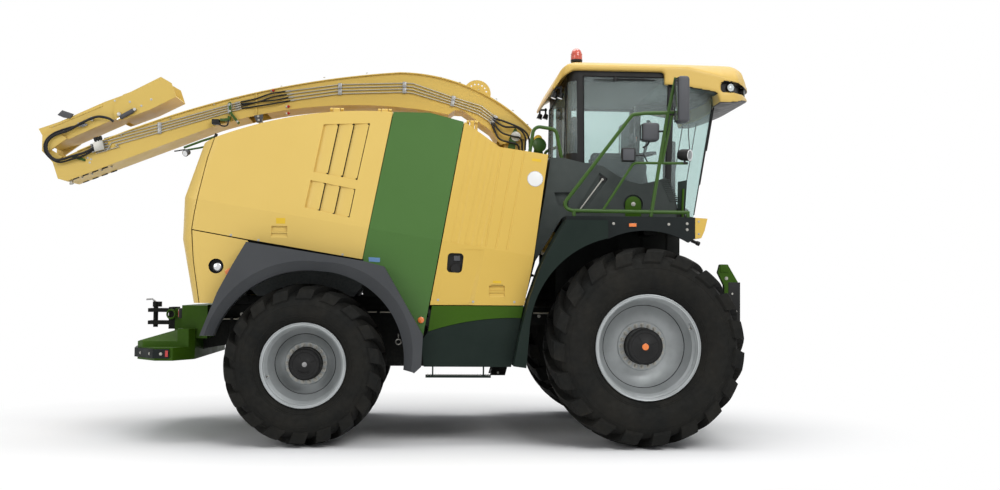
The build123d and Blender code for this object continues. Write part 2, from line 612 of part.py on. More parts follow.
def tyre(axle_x, axle_z, wheel_y, radius, width, rim_r, lug_count, lug_h):
    """A right-hand tyre with its lugs."""
    crown = radius - lug_h
    half = width / 2
    bead = rim_r - RIM_LIP
    lip = half * 0.80 - FLANGE_T
    mid = -wheel_y
    bulge_z = axle_z + (crown + rim_r) / 2 + 20
    with BuildPart() as carcass:
        with BuildSketch(Plane.YZ.offset(axle_x)) as section:
            with BuildLine():
                tread = ThreePointArc((mid - half * 0.86, axle_z + crown - 62), (mid, axle_z + crown),
                                      (mid + half * 0.86, axle_z + crown - 62))
                wall = ThreePointArc(tread @ 1, (mid + half, bulge_z),
                                     (mid + lip, axle_z + rim_r + 8))
                Polyline(wall @ 1, (mid + lip, axle_z + rim_r), (mid + half * 0.72, axle_z + bead),
                         (mid - half * 0.72, axle_z + bead), (mid - lip, axle_z + rim_r),
                         (mid - lip, axle_z + rim_r + 8))
                ThreePointArc((mid - lip, axle_z + rim_r + 8), (mid - half, bulge_z), tread @ 0)
            make_face()
        revolve(section.sketch, axis=Axis((axle_x, 0, axle_z), (0, 1, 0)))
    pitch = 2 * pi * radius / lug_count
    # bar outline as shares of the pitch and of the half width, from the middle to the shoulder
    bar_shape = ((-0.10, -0.05), (0.12, -0.09), (0.66, 0.48), (0.98, 0.74), (1.04, 0.99),
                 (0.54, 0.99), (0.50, 0.80), (0.34, 0.52))
    with BuildPart() as lugs:
        for row in (-1, 1):
            for i in range(lug_count):
                turn = 360 / lug_count * (i + (0.5 if row > 0 else 0.0))
                bar_plane = Plane(origin=(axle_x, mid, axle_z), x_dir=(1, 0, 0),
                                  z_dir=(0, 0, 1)).rotated((0, turn, 0))
                with BuildSketch(bar_plane.offset(crown - 190)) as bar:
                    with BuildLine():
                        Polyline(*[(-along * pitch, row * out * half) for along, out in bar_shape],
                                 close=True)
                    make_face()
                extrude(bar.sketch, amount=lug_h + 210)
        with BuildSketch(Plane.YZ.offset(axle_x)) as envelope:
            with BuildLine():
                cap = ThreePointArc((mid - half * 0.95, axle_z + radius - 52), (mid, axle_z + radius),
                                    (mid + half * 0.95, axle_z + radius - 52))
                Polyline(cap @ 1, (mid + half * 0.99, axle_z + crown - 88),
                         (mid + half * 0.93, axle_z + crown - 118),
                         (mid - half * 0.93, axle_z + crown - 118),
                         (mid - half * 0.99, axle_z + crown - 88), cap @ 0)
            make_face()
        revolve(envelope.sketch, axis=Axis((axle_x, 0, axle_z), (0, 1, 0)), mode=Mode.INTERSECT)
    with BuildPart() as whole:
        add(carcass.part)
        add(lugs.part)
        y_cylinder(axle_x, axle_z, bead, mid + half, mid - half, mode=Mode.SUBTRACT)
    return whole.part


def rim(axle_x, axle_z, wheel_y, width, rim_r, radii, hub_face_y, bore_r, spindle_end):
    """A right-hand rim, dished disc and hub; radii are those of the dish, hub ring and cap."""
    half = width / 2 * 0.80
    bead = rim_r - RIM_LIP
    well = bead - RIM_WALL
    outer_y = wheel_y + half
    dish_r, ring_r, cap_r = radii
    dish_y = outer_y - 235
    ring_y = outer_y - 330
    cap_y = outer_y - 150
    # columns: distance from the middle of the machine, radius
    inner_side = ((wheel_y - half, rim_r), (wheel_y - half, well), (dish_y - 60, well),
                  (dish_y - 56, dish_r - 10), (ring_y - 40, ring_r + 20), (hub_face_y, ring_r),
                  (hub_face_y, bore_r), (spindle_end + RUN_GAP, bore_r), (spindle_end + RUN_GAP, 0))
    outer_side = ((cap_y, 0), (cap_y, cap_r - 14), (cap_y - 14, cap_r), (ring_y + 16, cap_r),
                  (ring_y + 16, ring_r), (ring_y, ring_r + 4))
    barrel = ((dish_y, dish_r), (outer_y - 120, bead - 36), (outer_y - 96, bead - 14),
              (outer_y - 14, well), (outer_y, well + 4), (outer_y, rim_r),
              (outer_y - FLANGE_T, rim_r), (wheel_y + width / 2 * 0.72, bead),
              (wheel_y - width / 2 * 0.72, bead), (wheel_y - half + FLANGE_T, rim_r))
    with BuildPart() as piece:
        with BuildSketch(Plane.YZ.offset(axle_x)) as section:
            with BuildLine():
                hub = Polyline(*[(-y, axle_z + r) for y, r in inner_side + outer_side])
                dish = ThreePointArc(hub @ 1, (-ring_y - 18, axle_z + (ring_r + dish_r) / 2),
                                     (-dish_y, axle_z + dish_r))
                Polyline(dish @ 1, *[(-y, axle_z + r) for y, r in barrel[1:]], hub @ 0)
            make_face()
        revolve(section.sketch, axis=Axis((axle_x, 0, axle_z), (0, 1, 0)))
    return piece.part


finish_pair(tyre(FRONT_AXLE_X, FRONT_AXLE_Z, FRONT_WHEEL_Y, FRONT_TYRE_R, FRONT_TYRE_W, FRONT_RIM_R,
                 FRONT_LUGS, FRONT_LUG_H), "front_tyre")
finish_pair(rim(FRONT_AXLE_X, FRONT_AXLE_Z, FRONT_WHEEL_Y, FRONT_TYRE_W, FRONT_RIM_R,
                (400, 232, 170), FRONT_HUB_Y + RUN_GAP, 62, FRONT_SPINDLE_END), "front_rim")
finish_pair(tyre(REAR_AXLE_X, REAR_AXLE_Z, REAR_WHEEL_Y, REAR_TYRE_R, REAR_TYRE_W, REAR_RIM_R,
                 REAR_LUGS, REAR_LUG_H), "rear_tyre")
finish_pair(rim(REAR_AXLE_X, REAR_AXLE_Z, REAR_WHEEL_Y, REAR_TYRE_W, REAR_RIM_R,
                (290, 200, 150), KINGPIN_Y + 130 + RUN_GAP, 57, REAR_SPINDLE_END), "rear_rim")

# Rear counterweight: a plate with a ramp on it, its carrier box and the bumper strip round it
WEIGHT_Z = (790.0, 915.0)
WEIGHT_PLAN = ((-2130, -1090), (-2300, -1090), (-2530, -820), (-2590, -500), (-2590, 500),
               (-2530, 820), (-2300, 1090), (-2130, 1090), (-1975, 820), (-1975, -820))
BUMPER_PLAN = ((-2160, -1122), (-2312, -1122), (-2556, -836), (-2620, -508), (-2620, 508),
               (-2556, 836), (-2312, 1122), (-2160, 1122), (-2160, 1091), (-2300, 1091),
               (-2531, 821), (-2591, 501), (-2591, -501), (-2531, -821), (-2300, -1091),
               (-2160, -1091))
CARRIER_X = (-2120.0, -1964.0)
with BuildPart() as counterweight:
    with BuildSketch(Plane.XY.offset(WEIGHT_Z[0])) as plan:
        with BuildLine():
            Polyline(*WEIGHT_PLAN, close=True)
        make_face()
    extrude(plan.sketch, amount=WEIGHT_Z[1] - WEIGHT_Z[0])
    prism(((-2572, WEIGHT_Z[1]), (-2572, 953), (-2132, 1091), (-1975, 1091), (-1975, WEIGHT_Z[1])),
          900, -900)
    with BuildSketch(Plane.XY.offset(WEIGHT_Z[0])) as plan:
        with BuildLine():
            Polyline(*WEIGHT_PLAN, close=True)
        make_face()
    extrude(plan.sketch, amount=600, mode=Mode.INTERSECT)
    for side in (-1, 1):
        with BuildSketch(Plane.YZ.offset(-2700)) as bevel:
            with BuildLine():
                Polyline((side * 1000, WEIGHT_Z[1]), (side * 620, 1120), (side * 1000, 1120),
                         close=True)
            make_face()
        extrude(bevel.sketch, amount=570, mode=Mode.SUBTRACT)
    block(CARRIER_X, (-760, 760), (994, 1321))
    for y_low in (-760, 380):
        block((CARRIER_X[1], -1870), (y_low, y_low + 380), (994, 1321))
    block((-2330, CARRIER_X[0]), (-130, 130), (1013, 1275))
finish(counterweight.part, "counterweight")

with BuildPart() as rear_bumper:
    with BuildSketch(Plane.XY.offset(815)) as plan:
        with BuildLine():
            Polyline(*BUMPER_PLAN, close=True)
        make_face()
    extrude(plan.sketch, amount=88)
finish(rear_bumper.part, "rear_bumper")

HITCH_X = -2560.0
HITCH_PIN_R = 25.0
with BuildPart() as trailer_hitch:
    block((-2400, -2330), (-110, 110), (1060, 1290))
    for z in (1105, 1235):
        block((HITCH_X - 60, -2400), (-90, 90), (z, z + 40))
    z_cylinder(HITCH_X, 0, HITCH_PIN_R, 1075, 1330)
    block((HITCH_X - 30, HITCH_X + 60), (-16, 16), (1290, 1345))
finish(trailer_hitch.part, "trailer_hitch")

# Platform around the cab
with BuildPart() as platform:
    block((1640, 2880), (-DECK_Y, DECK_Y), (DECK_Z - DECK_T, DECK_Z))
    for y_left in (DECK_Y, -DECK_Y + 40):
        with BuildSketch(side_plane(y_left)) as beam:
            with BuildLine():
                arch = ThreePointArc((2047, 2000), (2430, 2086), (2836, 1975))
                Polyline(arch @ 1, (2900, 2018), (2900, 2219), (2875, 2219), (2875, 2180),
                         (2046, 2180), arch @ 0)
            make_face()
        extrude(beam.sketch, amount=40)
finish(platform.part, "platform")

with BuildPart() as platform_noses:
    both_prisms(((2900, 2217), (3021, 2210), (2993, 2094), (2960, 2019), (2900, 2012)), DECK_Y,
                1150)
finish(platform_noses.part, "platform_noses")

# Dark plinth beside and behind the cab
PLINTH_RIGHT = ((1521, 2814), (1644, 2816), (1844, 2771), (2044, 2740), (2144, 2676), (2276, 2604),
                (2427, 2565), (2578, 2600), (2679, 2635), (2780, 2404), (2811, DECK_Z),
                (1636, DECK_Z), (1530, 2040), (1371, 1780), (1371, 1893), (1466, 2435))
PLINTH_Y = 1148.0
BOSS_X, BOSS_Z = 2349.0, 2362.0
with BuildPart() as cab_plinth:
    prism(PLINTH_RIGHT, -CAB_HALF_W - 6, -PLINTH_Y)
    # shallow pocket, strut channel and the recess of the green boss
    prism(((1560, 2470), (1712, 2475), (1700, 2325), (1596, 2345)), -PLINTH_Y + 40, -PLINTH_Y - 10,
          mode=Mode.SUBTRACT)
    prism(((2010, 2672), (2095, 2612), (1840, 2262), (1756, 2262)), -PLINTH_Y + 16, -PLINTH_Y - 10,
          mode=Mode.SUBTRACT)
    y_cylinder(BOSS_X, BOSS_Z, 98, -PLINTH_Y + 24, -PLINTH_Y - 10, mode=Mode.SUBTRACT)
    prism(((1521, 2814), (1644, 2816), (1790, 2790), (1790, DECK_Z), (1636, DECK_Z), (1530, 2040),
           (1371, 1780), (1371, 1893), (1466, 2435)), PLINTH_Y, CAB_HALF_W + 6)
finish(cab_plinth.part, "cab_plinth")


# Cab volume: two plan sections with rounded rear corners and a curved windscreen
# columns: height, rear edge X, forward shift of the windscreen
CAB_SECTIONS = ((CAB_FLOOR_Z, 1715.0, 0.0), (CAB_TOP_Z, 1730.0, 256.0))


def cab_volume(inset):
    """Closed cab volume with its walls moved inwards by inset."""
    with BuildPart() as volume:
        for z, rear_x, shift in CAB_SECTIONS:
            level = z + inset if z == CAB_FLOOR_Z else z - inset
            with BuildSketch(Plane.XY.offset(level)):
                with BuildLine():
                    side = CAB_HALF_W - inset
                    corner = 110.0 - inset
                    rear = rear_x + inset
                    flank = Line((A_PILLAR_X + 60 + shift * 0.5, -side), (rear + corner, -side))
                    cut = corner * (1 - sqrt(0.5))
                    turn = ThreePointArc(flank @ 1, (rear + cut, -side + cut),
                                         (rear, -side + corner))
                    back = Line(turn @ 1, (rear, side - corner))
                    turn2 = ThreePointArc(back @ 1, (rear + cut, side - cut),
                                          (rear + corner, side))
                    flank2 = Line(turn2 @ 1, (A_PILLAR_X + 60 + shift * 0.5, side))
                    bend = ThreePointArc(flank2 @ 1,
                                         (2985 + shift * 0.85 - inset * 0.7, side - 75),
                                         (3075 + shift - inset, 640 - inset * 0.4))
                    screen = ThreePointArc(bend @ 1, (3164 + shift - inset, 0),
                                           (3075 + shift - inset, -640 + inset * 0.4))
                    ThreePointArc(screen @ 1, (2985 + shift * 0.85 - inset * 0.7, -side + 75),
                                  flank @ 0)
                make_face()
        loft(ruled=True)
    return volume.part


CAB_OUTER = cab_volume(0)
CAB_SHELL = CAB_OUTER - cab_volume(CAB_WALL)
CAB_GLASS_SKIN = CAB_OUTER - cab_volume(GLASS_T)

# Window openings in the side view; the door is the left-hand one
RIGHT_WINDOW = ((B_PILLAR_X + PILLAR_W, 2600), (A_PILLAR_X - 10, 2300), (A_PILLAR_X + 25, 3690),
                (B_PILLAR_X + PILLAR_W - 12, 3690))
DOOR = ((B_PILLAR_X + PILLAR_W, CAB_FLOOR_Z + 55), (A_PILLAR_X - 10, CAB_FLOOR_Z + 55),
        (A_PILLAR_X + 25, 3690), (B_PILLAR_X + PILLAR_W, 3690))
SCREEN = ((A_PILLAR_X + 45, CAB_FLOOR_Z + 55), (3400, CAB_FLOOR_Z + 55), (3500, 3600),
          (A_PILLAR_X + 85, 3600))
QUARTER = ((1700, 2900), (B_PILLAR_X - 10, 2900), (B_PILLAR_X - 20, 3640), (1700, 3640))
REAR_WINDOW_Y = 740.0
REAR_WINDOW_Z = (2900.0, 3600.0)

DOOR_HINGE_X, DOOR_HINGE_Y, DOOR_HINGE_R = 2757.0, 897.0, 12.0
DOOR_HINGES_Z = (2400, 3480)
with BuildPart() as cab_frame:
    add(CAB_SHELL)
    prism(RIGHT_WINDOW, -600, -CAB_HALF_W - 10, mode=Mode.SUBTRACT)
    prism(DOOR, CAB_HALF_W + 10, 600, mode=Mode.SUBTRACT)
    prism(SCREEN, CAB_HALF_W + 10, -CAB_HALF_W - 10, mode=Mode.SUBTRACT)
    prism(QUARTER, -790, -CAB_HALF_W - 10, mode=Mode.SUBTRACT)
    prism(QUARTER, CAB_HALF_W + 10, 790, mode=Mode.SUBTRACT)
    block((1700, 1790), (-REAR_WINDOW_Y, REAR_WINDOW_Y), REAR_WINDOW_Z, mode=Mode.SUBTRACT)
    for z in DOOR_HINGES_Z:
        for z_low in (z - HINGE_GAP - FIXED_KNUCKLE, z + 60 + HINGE_GAP):
            z_cylinder(DOOR_HINGE_X, DOOR_HINGE_Y, DOOR_HINGE_R, z_low, z_low + FIXED_KNUCKLE)
            block((DOOR_HINGE_X, DOOR_HINGE_X + 22), (CAB_HALF_W - 15, DOOR_HINGE_Y),
                  (z_low, z_low + FIXED_KNUCKLE))
finish(cab_frame.part, "cab_frame")

# the front glass has a middle pane and two bent corner panes, with a sealed joint between them
CORNER_JOINT_Y, CORNER_JOINT_W = 640.0, 6.0
with BuildPart() as cab_glass:
    add(CAB_GLASS_SKIN)
    for side in (-1, 1):
        joint_y = side * CORNER_JOINT_Y
        block((2900, 3500), (joint_y - CORNER_JOINT_W / 2, joint_y + CORNER_JOINT_W / 2),
              (CAB_FLOOR_Z, CAB_TOP_Z), mode=Mode.SUBTRACT)
    with BuildPart(mode=Mode.PRIVATE) as regions:
        prism(RIGHT_WINDOW, -600, -CAB_HALF_W - 10)
        prism(SCREEN, CAB_HALF_W + 10, -CAB_HALF_W - 10)
        prism(QUARTER, -790, -CAB_HALF_W - 10)
        prism(QUARTER, CAB_HALF_W + 10, 790)
        block((1700, 1790), (-REAR_WINDOW_Y, REAR_WINDOW_Y), REAR_WINDOW_Z)
    add(regions.part, mode=Mode.INTERSECT)
finish(cab_glass.part, "cab_glass")

# Cab door: a frame with one pane
DOOR_GAP = 7.0
DOOR_BAND = 55.0
INWARDS = ((1, 1), (-1, 1), (-1, -1), (1, -1))
door_outer = [(x + along * DOOR_GAP, z + up * DOOR_GAP) for (x, z), (along, up) in zip(DOOR, INWARDS)]
door_pane = [(x + along * DOOR_BAND, z + up * DOOR_BAND)
             for (x, z), (along, up) in zip(door_outer, INWARDS)]
with BuildPart() as cab_door:
    prism(door_outer, CAB_HALF_W, CAB_HALF_W - 30)
    prism(door_pane, CAB_HALF_W + 10, CAB_HALF_W - 60, mode=Mode.SUBTRACT)
    block((B_PILLAR_X + PILLAR_W + 20, B_PILLAR_X + PILLAR_W + 50), (CAB_HALF_W, CAB_HALF_W + 45),
          (2560, 2760))
    for z in DOOR_HINGES_Z:
        z_cylinder(DOOR_HINGE_X, DOOR_HINGE_Y, DOOR_HINGE_R, z, z + 60)
        block((2684, 2712), (CAB_HALF_W - 2, CAB_HALF_W + 18), (z, z + 60))
        block((2700, DOOR_HINGE_X), (CAB_HALF_W + 7, CAB_HALF_W + 18), (z, z + 60))
finish(cab_door.part, "cab_door")

with BuildPart() as cab_door_glass:
    prism(door_pane, CAB_HALF_W - 4, CAB_HALF_W - 4 - GLASS_T)
finish(cab_door_glass.part, "cab_door_glass")

# Cab roof: a crowned slab with the lamp visor in front, its rear edge clear of the swung spout
ROOF_REAR_X = 1566.0
ROOF_UNDER = ((ROOF_REAR_X, 3576), (ROOF_REAR_X + 24, 3560), (1673, 3680), (1776, CAB_TOP_Z),
              (2712, CAB_TOP_Z), (2712, 3612), (2920, 3596), (3260, 3540), (3290, 3440),
              (3447, 3445), (3660, 3510))
LAMP_BAND_X = 3300.0
LAMP_BAND_Z = (3548.0, 3652.0)


def lamp_band_core(inset):
    """Plan area behind the lamp band, its edge moved inwards by inset."""
    with BuildSketch(Plane.XY.offset(LAMP_BAND_Z[0])) as core:
        with BuildLine():
            nose = ThreePointArc((3440, -880 + inset), (3712 - inset, 0), (3440, 880 - inset))
            Polyline(nose @ 1, (LAMP_BAND_X, 880 - inset), (LAMP_BAND_X, -880 + inset), nose @ 0)
        make_face()
    return core.sketch


BAND_AREA = Plane.XY.offset(LAMP_BAND_Z[0]) * Pos(LAMP_BAND_X, 0) * Rectangle(
    520, 1900, align=(Align.MIN, Align.CENTER))
BAND_CUT = extrude(BAND_AREA - lamp_band_core(14), amount=LAMP_BAND_Z[1] - LAMP_BAND_Z[0])
STRIP = extrude(lamp_band_core(0) - lamp_band_core(14), amount=LAMP_BAND_Z[1] - LAMP_BAND_Z[0])
CORE = extrude(lamp_band_core(14), amount=LAMP_BAND_Z[1] - LAMP_BAND_Z[0])
with BuildPart() as cab_roof:
    with BuildSketch(side_plane(935)) as side_view:
        with BuildLine():
            under = Polyline(*ROOF_UNDER)
            chin = ThreePointArc(under @ 1, (3752, 3572), (3780, 3670))
            brow = ThreePointArc(chin @ 1, (3668, 3828), (3451, 3923))
            top = ThreePointArc(brow @ 1, (2700, 3964), (1960, 3916))
            Polyline(top @ 1, (1827, 3886), (1657, 3760), under @ 0)
        make_face()
    extrude(side_view.sketch, amount=1870)
    with BuildSketch(Plane.YZ.offset(1400)) as crown:
        with BuildLine():
            arc = ThreePointArc((-935, 3800), (0, 3950), (935, 3800))
            Polyline(arc @ 1, (935, 3300), (-935, 3300), arc @ 0)
        make_face()
    extrude(crown.sketch, amount=2600, mode=Mode.INTERSECT)
    with BuildSketch(Plane.XY.offset(3300)) as plan:
        with BuildLine():
            nose = ThreePointArc((3600, -740), (3780, 0), (3600, 740))
            left = ThreePointArc(nose @ 1, (3497, 880), (3330, 935))
            back = Polyline(left @ 1, (1700, 935), (ROOF_REAR_X, 780), (ROOF_REAR_X, -780),
                            (1700, -935), (3330, -935))
            ThreePointArc(back @ 1, (3497, -880), nose @ 0)
        make_face()
    extrude(plan.sketch, amount=800, mode=Mode.INTERSECT)
    add(CAB_OUTER, mode=Mode.SUBTRACT)
    # the skirt starts ahead of the door on the left
    block((2700, 2850), (CAB_HALF_W - 10, 945), (3500, CAB_TOP_Z), mode=Mode.SUBTRACT)
    # recess for the lamp band round the nose
    add(BAND_CUT, mode=Mode.SUBTRACT)
finish(cab_roof.part, "cab_roof")

# Work lamps in the band, on a dark strip along its back
# columns: X and Y of the lamp's seat, direction it faces in degrees from straight ahead
ROOF_LAMPS = ((3712, 130, 2), (3700, -130, -2), (3668, 390, 10), (3668, -390, -10),
              (3592, 640, 20), (3592, -640, -20), (3400, 870, 75), (3400, -870, -75))
LAMP_R = 44.0
with BuildPart() as roof_lamps:
    add(STRIP)
    for x, y, turn in ROOF_LAMPS:
        facing = Plane(origin=(x, y, sum(LAMP_BAND_Z) / 2), x_dir=(0, 0, 1),
                       z_dir=(cos(turn * pi / 180), sin(turn * pi / 180), 0))
        with BuildSketch(facing.offset(-24)) as lamp:
            Circle(LAMP_R)
        extrude(lamp.sketch, amount=54)
    # the lamps start at the back wall of the recess
    add(CORE, mode=Mode.SUBTRACT)
finish(roof_lamps.part, "roof_lamps")

# Seat and steering column inside the cab
SEAT_X, SEAT_Y = 2150.0, 0.0
with BuildPart() as driver_seat:
    block((SEAT_X - 250, SEAT_X + 250), (-250, 250), (2700, 2830))
    block((SEAT_X - 330, SEAT_X - 210), (-240, 240), (2760, 3420))
finish(driver_seat.part, "driver_seat")

with BuildPart() as seat_base:
    block((SEAT_X - 200, SEAT_X + 200), (-200, 200), (CAB_FLOOR_Z + CAB_WALL, 2699))
    # side console with its armrest, on a foot that joins the seat base
    block((SEAT_X - 180, SEAT_X + 160), (-420, -200), (CAB_FLOOR_Z + CAB_WALL, 2330))
    block((SEAT_X - 120, SEAT_X + 420), (-560, -300), (CAB_FLOOR_Z + CAB_WALL, 2900))
finish(seat_base.part, "seat_base")

with BuildPart() as steering_column:
    block((2700, 2820), (-60, 60), (CAB_FLOOR_Z + CAB_WALL, 2420))
    rod((2745, 0, 2380), (2640, 0, 2980), 45)
    with BuildSketch(Plane(origin=(2640, 0, 2980), z_dir=(-120, 0, 700))) as ring:
        Circle(190)
        Circle(160, mode=Mode.SUBTRACT)
    extrude(ring.sketch, amount=24)
    with BuildSketch(Plane(origin=(2640, 0, 2980), z_dir=(-120, 0, 700))) as spoke:
        Rectangle(50, 340)
    extrude(spoke.sketch, amount=20)
finish(steering_column.part, "steering_column")

# Green handrails at the edge of the platform, and the guard hoops on the plinth
RAIL_Y_OUT = DECK_Y - 30
HOOP_Y = 1000.0
# columns: points of one bent tube, its radius and the radius of its bends
RIGHT_TUBES = (
    (((2835, 2269), (1700, 2272), (1600, 2310), (2286, 3215), (2420, 3232), (2848, 3250)), 18.0, 55),
    (((2470, DECK_Z + 3), (2626, 3183), (2713, 3584)), 18.0, 200),
    (((2579, 2745), (2682, 3249)), 14.0, 0),
    (((1996, 2271), (2300, 2744), (2830, 2749)), 13.0, 60),
    (((2835, DECK_Z), (2835, 2280)), 18.0, 0),
    (((1720, DECK_Z), (1720, 2280)), 18.0, 0),
)
with BuildPart() as handrails:
    for points, radius, bend in RIGHT_TUBES:
        path = [(x, -RAIL_Y_OUT, z) for x, z in points]
        if bend > 0:
            tube_path(path, radius, bend)
        else:
            rod(path[0], path[1], radius)
    tube_path([(1750, RAIL_Y_OUT, DECK_Z), (1750, RAIL_Y_OUT, 3200), (2000, RAIL_Y_OUT, 3300)],
              RAIL_TUBE_R, 60)
    tube_path([(2840, RAIL_Y_OUT, DECK_Z), (2840, RAIL_Y_OUT, 3420), (2800, RAIL_Y_OUT, 3560)],
              RAIL_TUBE_R, 60)
    tube_path([(1325, -HOOP_Y, 2870), (1368, -HOOP_Y, 3150), (1590, -HOOP_Y, 3118),
               (1650, -HOOP_Y, 2822)], RAIL_TUBE_R, 70)
finish(handrails.part, "handrails")

# Mirrors and the work lamp on the rail's uprights, each with its arm
with BuildPart() as mirrors:
    block((2690, 2816), (-RAIL_Y_OUT - 200, -RAIL_Y_OUT - 20), (3120, 3575))
    block((2390, 2570), (-RAIL_Y_OUT + 20, -RAIL_Y_OUT + 170), (2965, 3150))
    block((2700, 2820), (RAIL_Y_OUT + 20, RAIL_Y_OUT + 200), (3120, 3575))
    chamfer(mirrors.edges().filter_by(Axis.Z), length=24)
    rod((2740, -RAIL_Y_OUT - 30, 3440), (2682, -RAIL_Y_OUT - 10, 3440), 10)
    rod((2560, -RAIL_Y_OUT + 40, 3060), (2604, -RAIL_Y_OUT + 10, 3060), 10)
    rod((2760, RAIL_Y_OUT + 30, 3400), (2838, RAIL_Y_OUT + 10, 3400), 10)
    add(handrails.part, mode=Mode.SUBTRACT)
finish(mirrors.part, "mirrors")

# Beacon, rear roof lamps, tail lamps and the work lamp on the handrail
TAIL_LAMP_Y = 660.0
with BuildPart() as lamps:
    z_cylinder(1892, -300, 45, 3870, 3965)
    z_cylinder(1892, -300, 62, 3965, 4080)
    z_cylinder(1892, -300, 40, 4080, 4105)
    for side in (-1, 1):
        for x in (ROOF_REAR_X + 38, ROOF_REAR_X + 106):
            block((x - 30, x + 30), sorted((side * 660, side * 740)), (3476, 3548))
        block((ROOF_REAR_X + 4, 1690), sorted((side * 690, side * 710)), (3540, 3700))
        block((CARRIER_X[0] - 40, CARRIER_X[0]), sorted((side * (TAIL_LAMP_Y - 90),
                                                         side * (TAIL_LAMP_Y + 90))), (1190, 1290))
    x_cylinder(-RAIL_Y_OUT, 2830, 55, 2760, 2875)
    block((2800, 2824), (-RAIL_Y_OUT - 12, -RAIL_Y_OUT + 12), (2763, 2790))
    add(cab_roof.part, mode=Mode.SUBTRACT)
finish(lamps.part, "lamps")

# Access ladder on the left-hand side
with BuildPart() as access_ladder:
    for y in (1176, 1490):
        prism(((1080, 480), (1260, 480), (1700, 2179), (1560, 2179)), y, y - 20)
    for i in range(6):
        z = 500 + i * 290
        x = 1080 + (z - 480) / 1698 * 500
        block((x + 10, x + 170), (1156, 1470), (z, z + 25))
finish(access_ladder.part, "access_ladder")

# Chopping unit between the front wheels, and the discharge tower up to the spout
CHOP_X, CHOP_Z, CHOP_R = 2860.0, 1000.0, 260.0
CHOP_HALF_W = 400.0
PIVOT_R = 60.0
with BuildPart() as chopper_housing:
    block((2600, CHOP_X), (-CHOP_HALF_W, CHOP_HALF_W), (760, 1500))
    y_cylinder(CHOP_X, CHOP_Z, CHOP_R, CHOP_HALF_W, -CHOP_HALF_W)
    y_cylinder(CHOP_X, CHOP_Z, PIVOT_R, CHOP_HALF_W + 36, -CHOP_HALF_W - 36)
finish(chopper_housing.part, "chopper_housing")

with BuildPart() as discharge_tower:
    prism(((2600, 1325), (2600, 1500), (1600, 2180), (1600, TURRET_Z), (1060, TURRET_Z),
           (1060, 2250), (2420, 1325)), 200, -200)
    z_cylinder(SPOUT_AXIS_X, 0, TURRET_R, TURRET_Z - 60, TURRET_Z)
finish(discharge_tower.part, "discharge_tower")

# Spout foot: turning ring and the neck that the arm pivots on
LIFT_X, LIFT_Z = 1250.0, 3150.0
NECK_R = 105.0
NECK_HALF_W = 165.0
with BuildPart() as spout_turret:
    z_cylinder(SPOUT_AXIS_X, 0, TURRET_R, TURRET_Z + RUN_GAP, TURRET_Z + 56)
    block((LIFT_X - NECK_R, LIFT_X + NECK_R), (-NECK_HALF_W, NECK_HALF_W), (TURRET_Z + 50, LIFT_Z))
    y_cylinder(LIFT_X, LIFT_Z, NECK_R, NECK_HALF_W, -NECK_HALF_W)
    y_cylinder(LIFT_X, LIFT_Z, 40, SPOUT_HALF_W + 14, -SPOUT_HALF_W - 14)
finish(spout_turret.part, "spout_turret")


def arm_area(inset):
    """Side-view area of the spout arm, its walls moved inwards by inset."""
    with BuildSketch(side_plane(SPOUT_HALF_W - inset)) as area:
        with BuildLine():
            top_rear = ThreePointArc((-3349, 2914 - inset), (-1538, 3563 - inset), (2, 3818 - inset))
            top_front = ThreePointArc(top_rear @ 1, (720, 3690 - inset), (1424 - inset, 3229 - inset))
            mouth = Polyline(top_front @ 1, (1400 - inset, 3140), (1087, 3060), (987, 3209 + inset),
                             (678, 3423 + inset), (594, 3427 + inset), (526, 3377 + inset))
            low = ThreePointArc(mouth @ 1, (-798, 3440 + inset), (-1944, 3204 + inset))
            Polyline(low @ 1, (-3451 + inset, 2600 + inset), (-3543 + inset, 2620 + inset),
                     (-3600 + inset, 2790 - inset), (-3349, 2914 - inset))
        make_face()
    return area.sketch


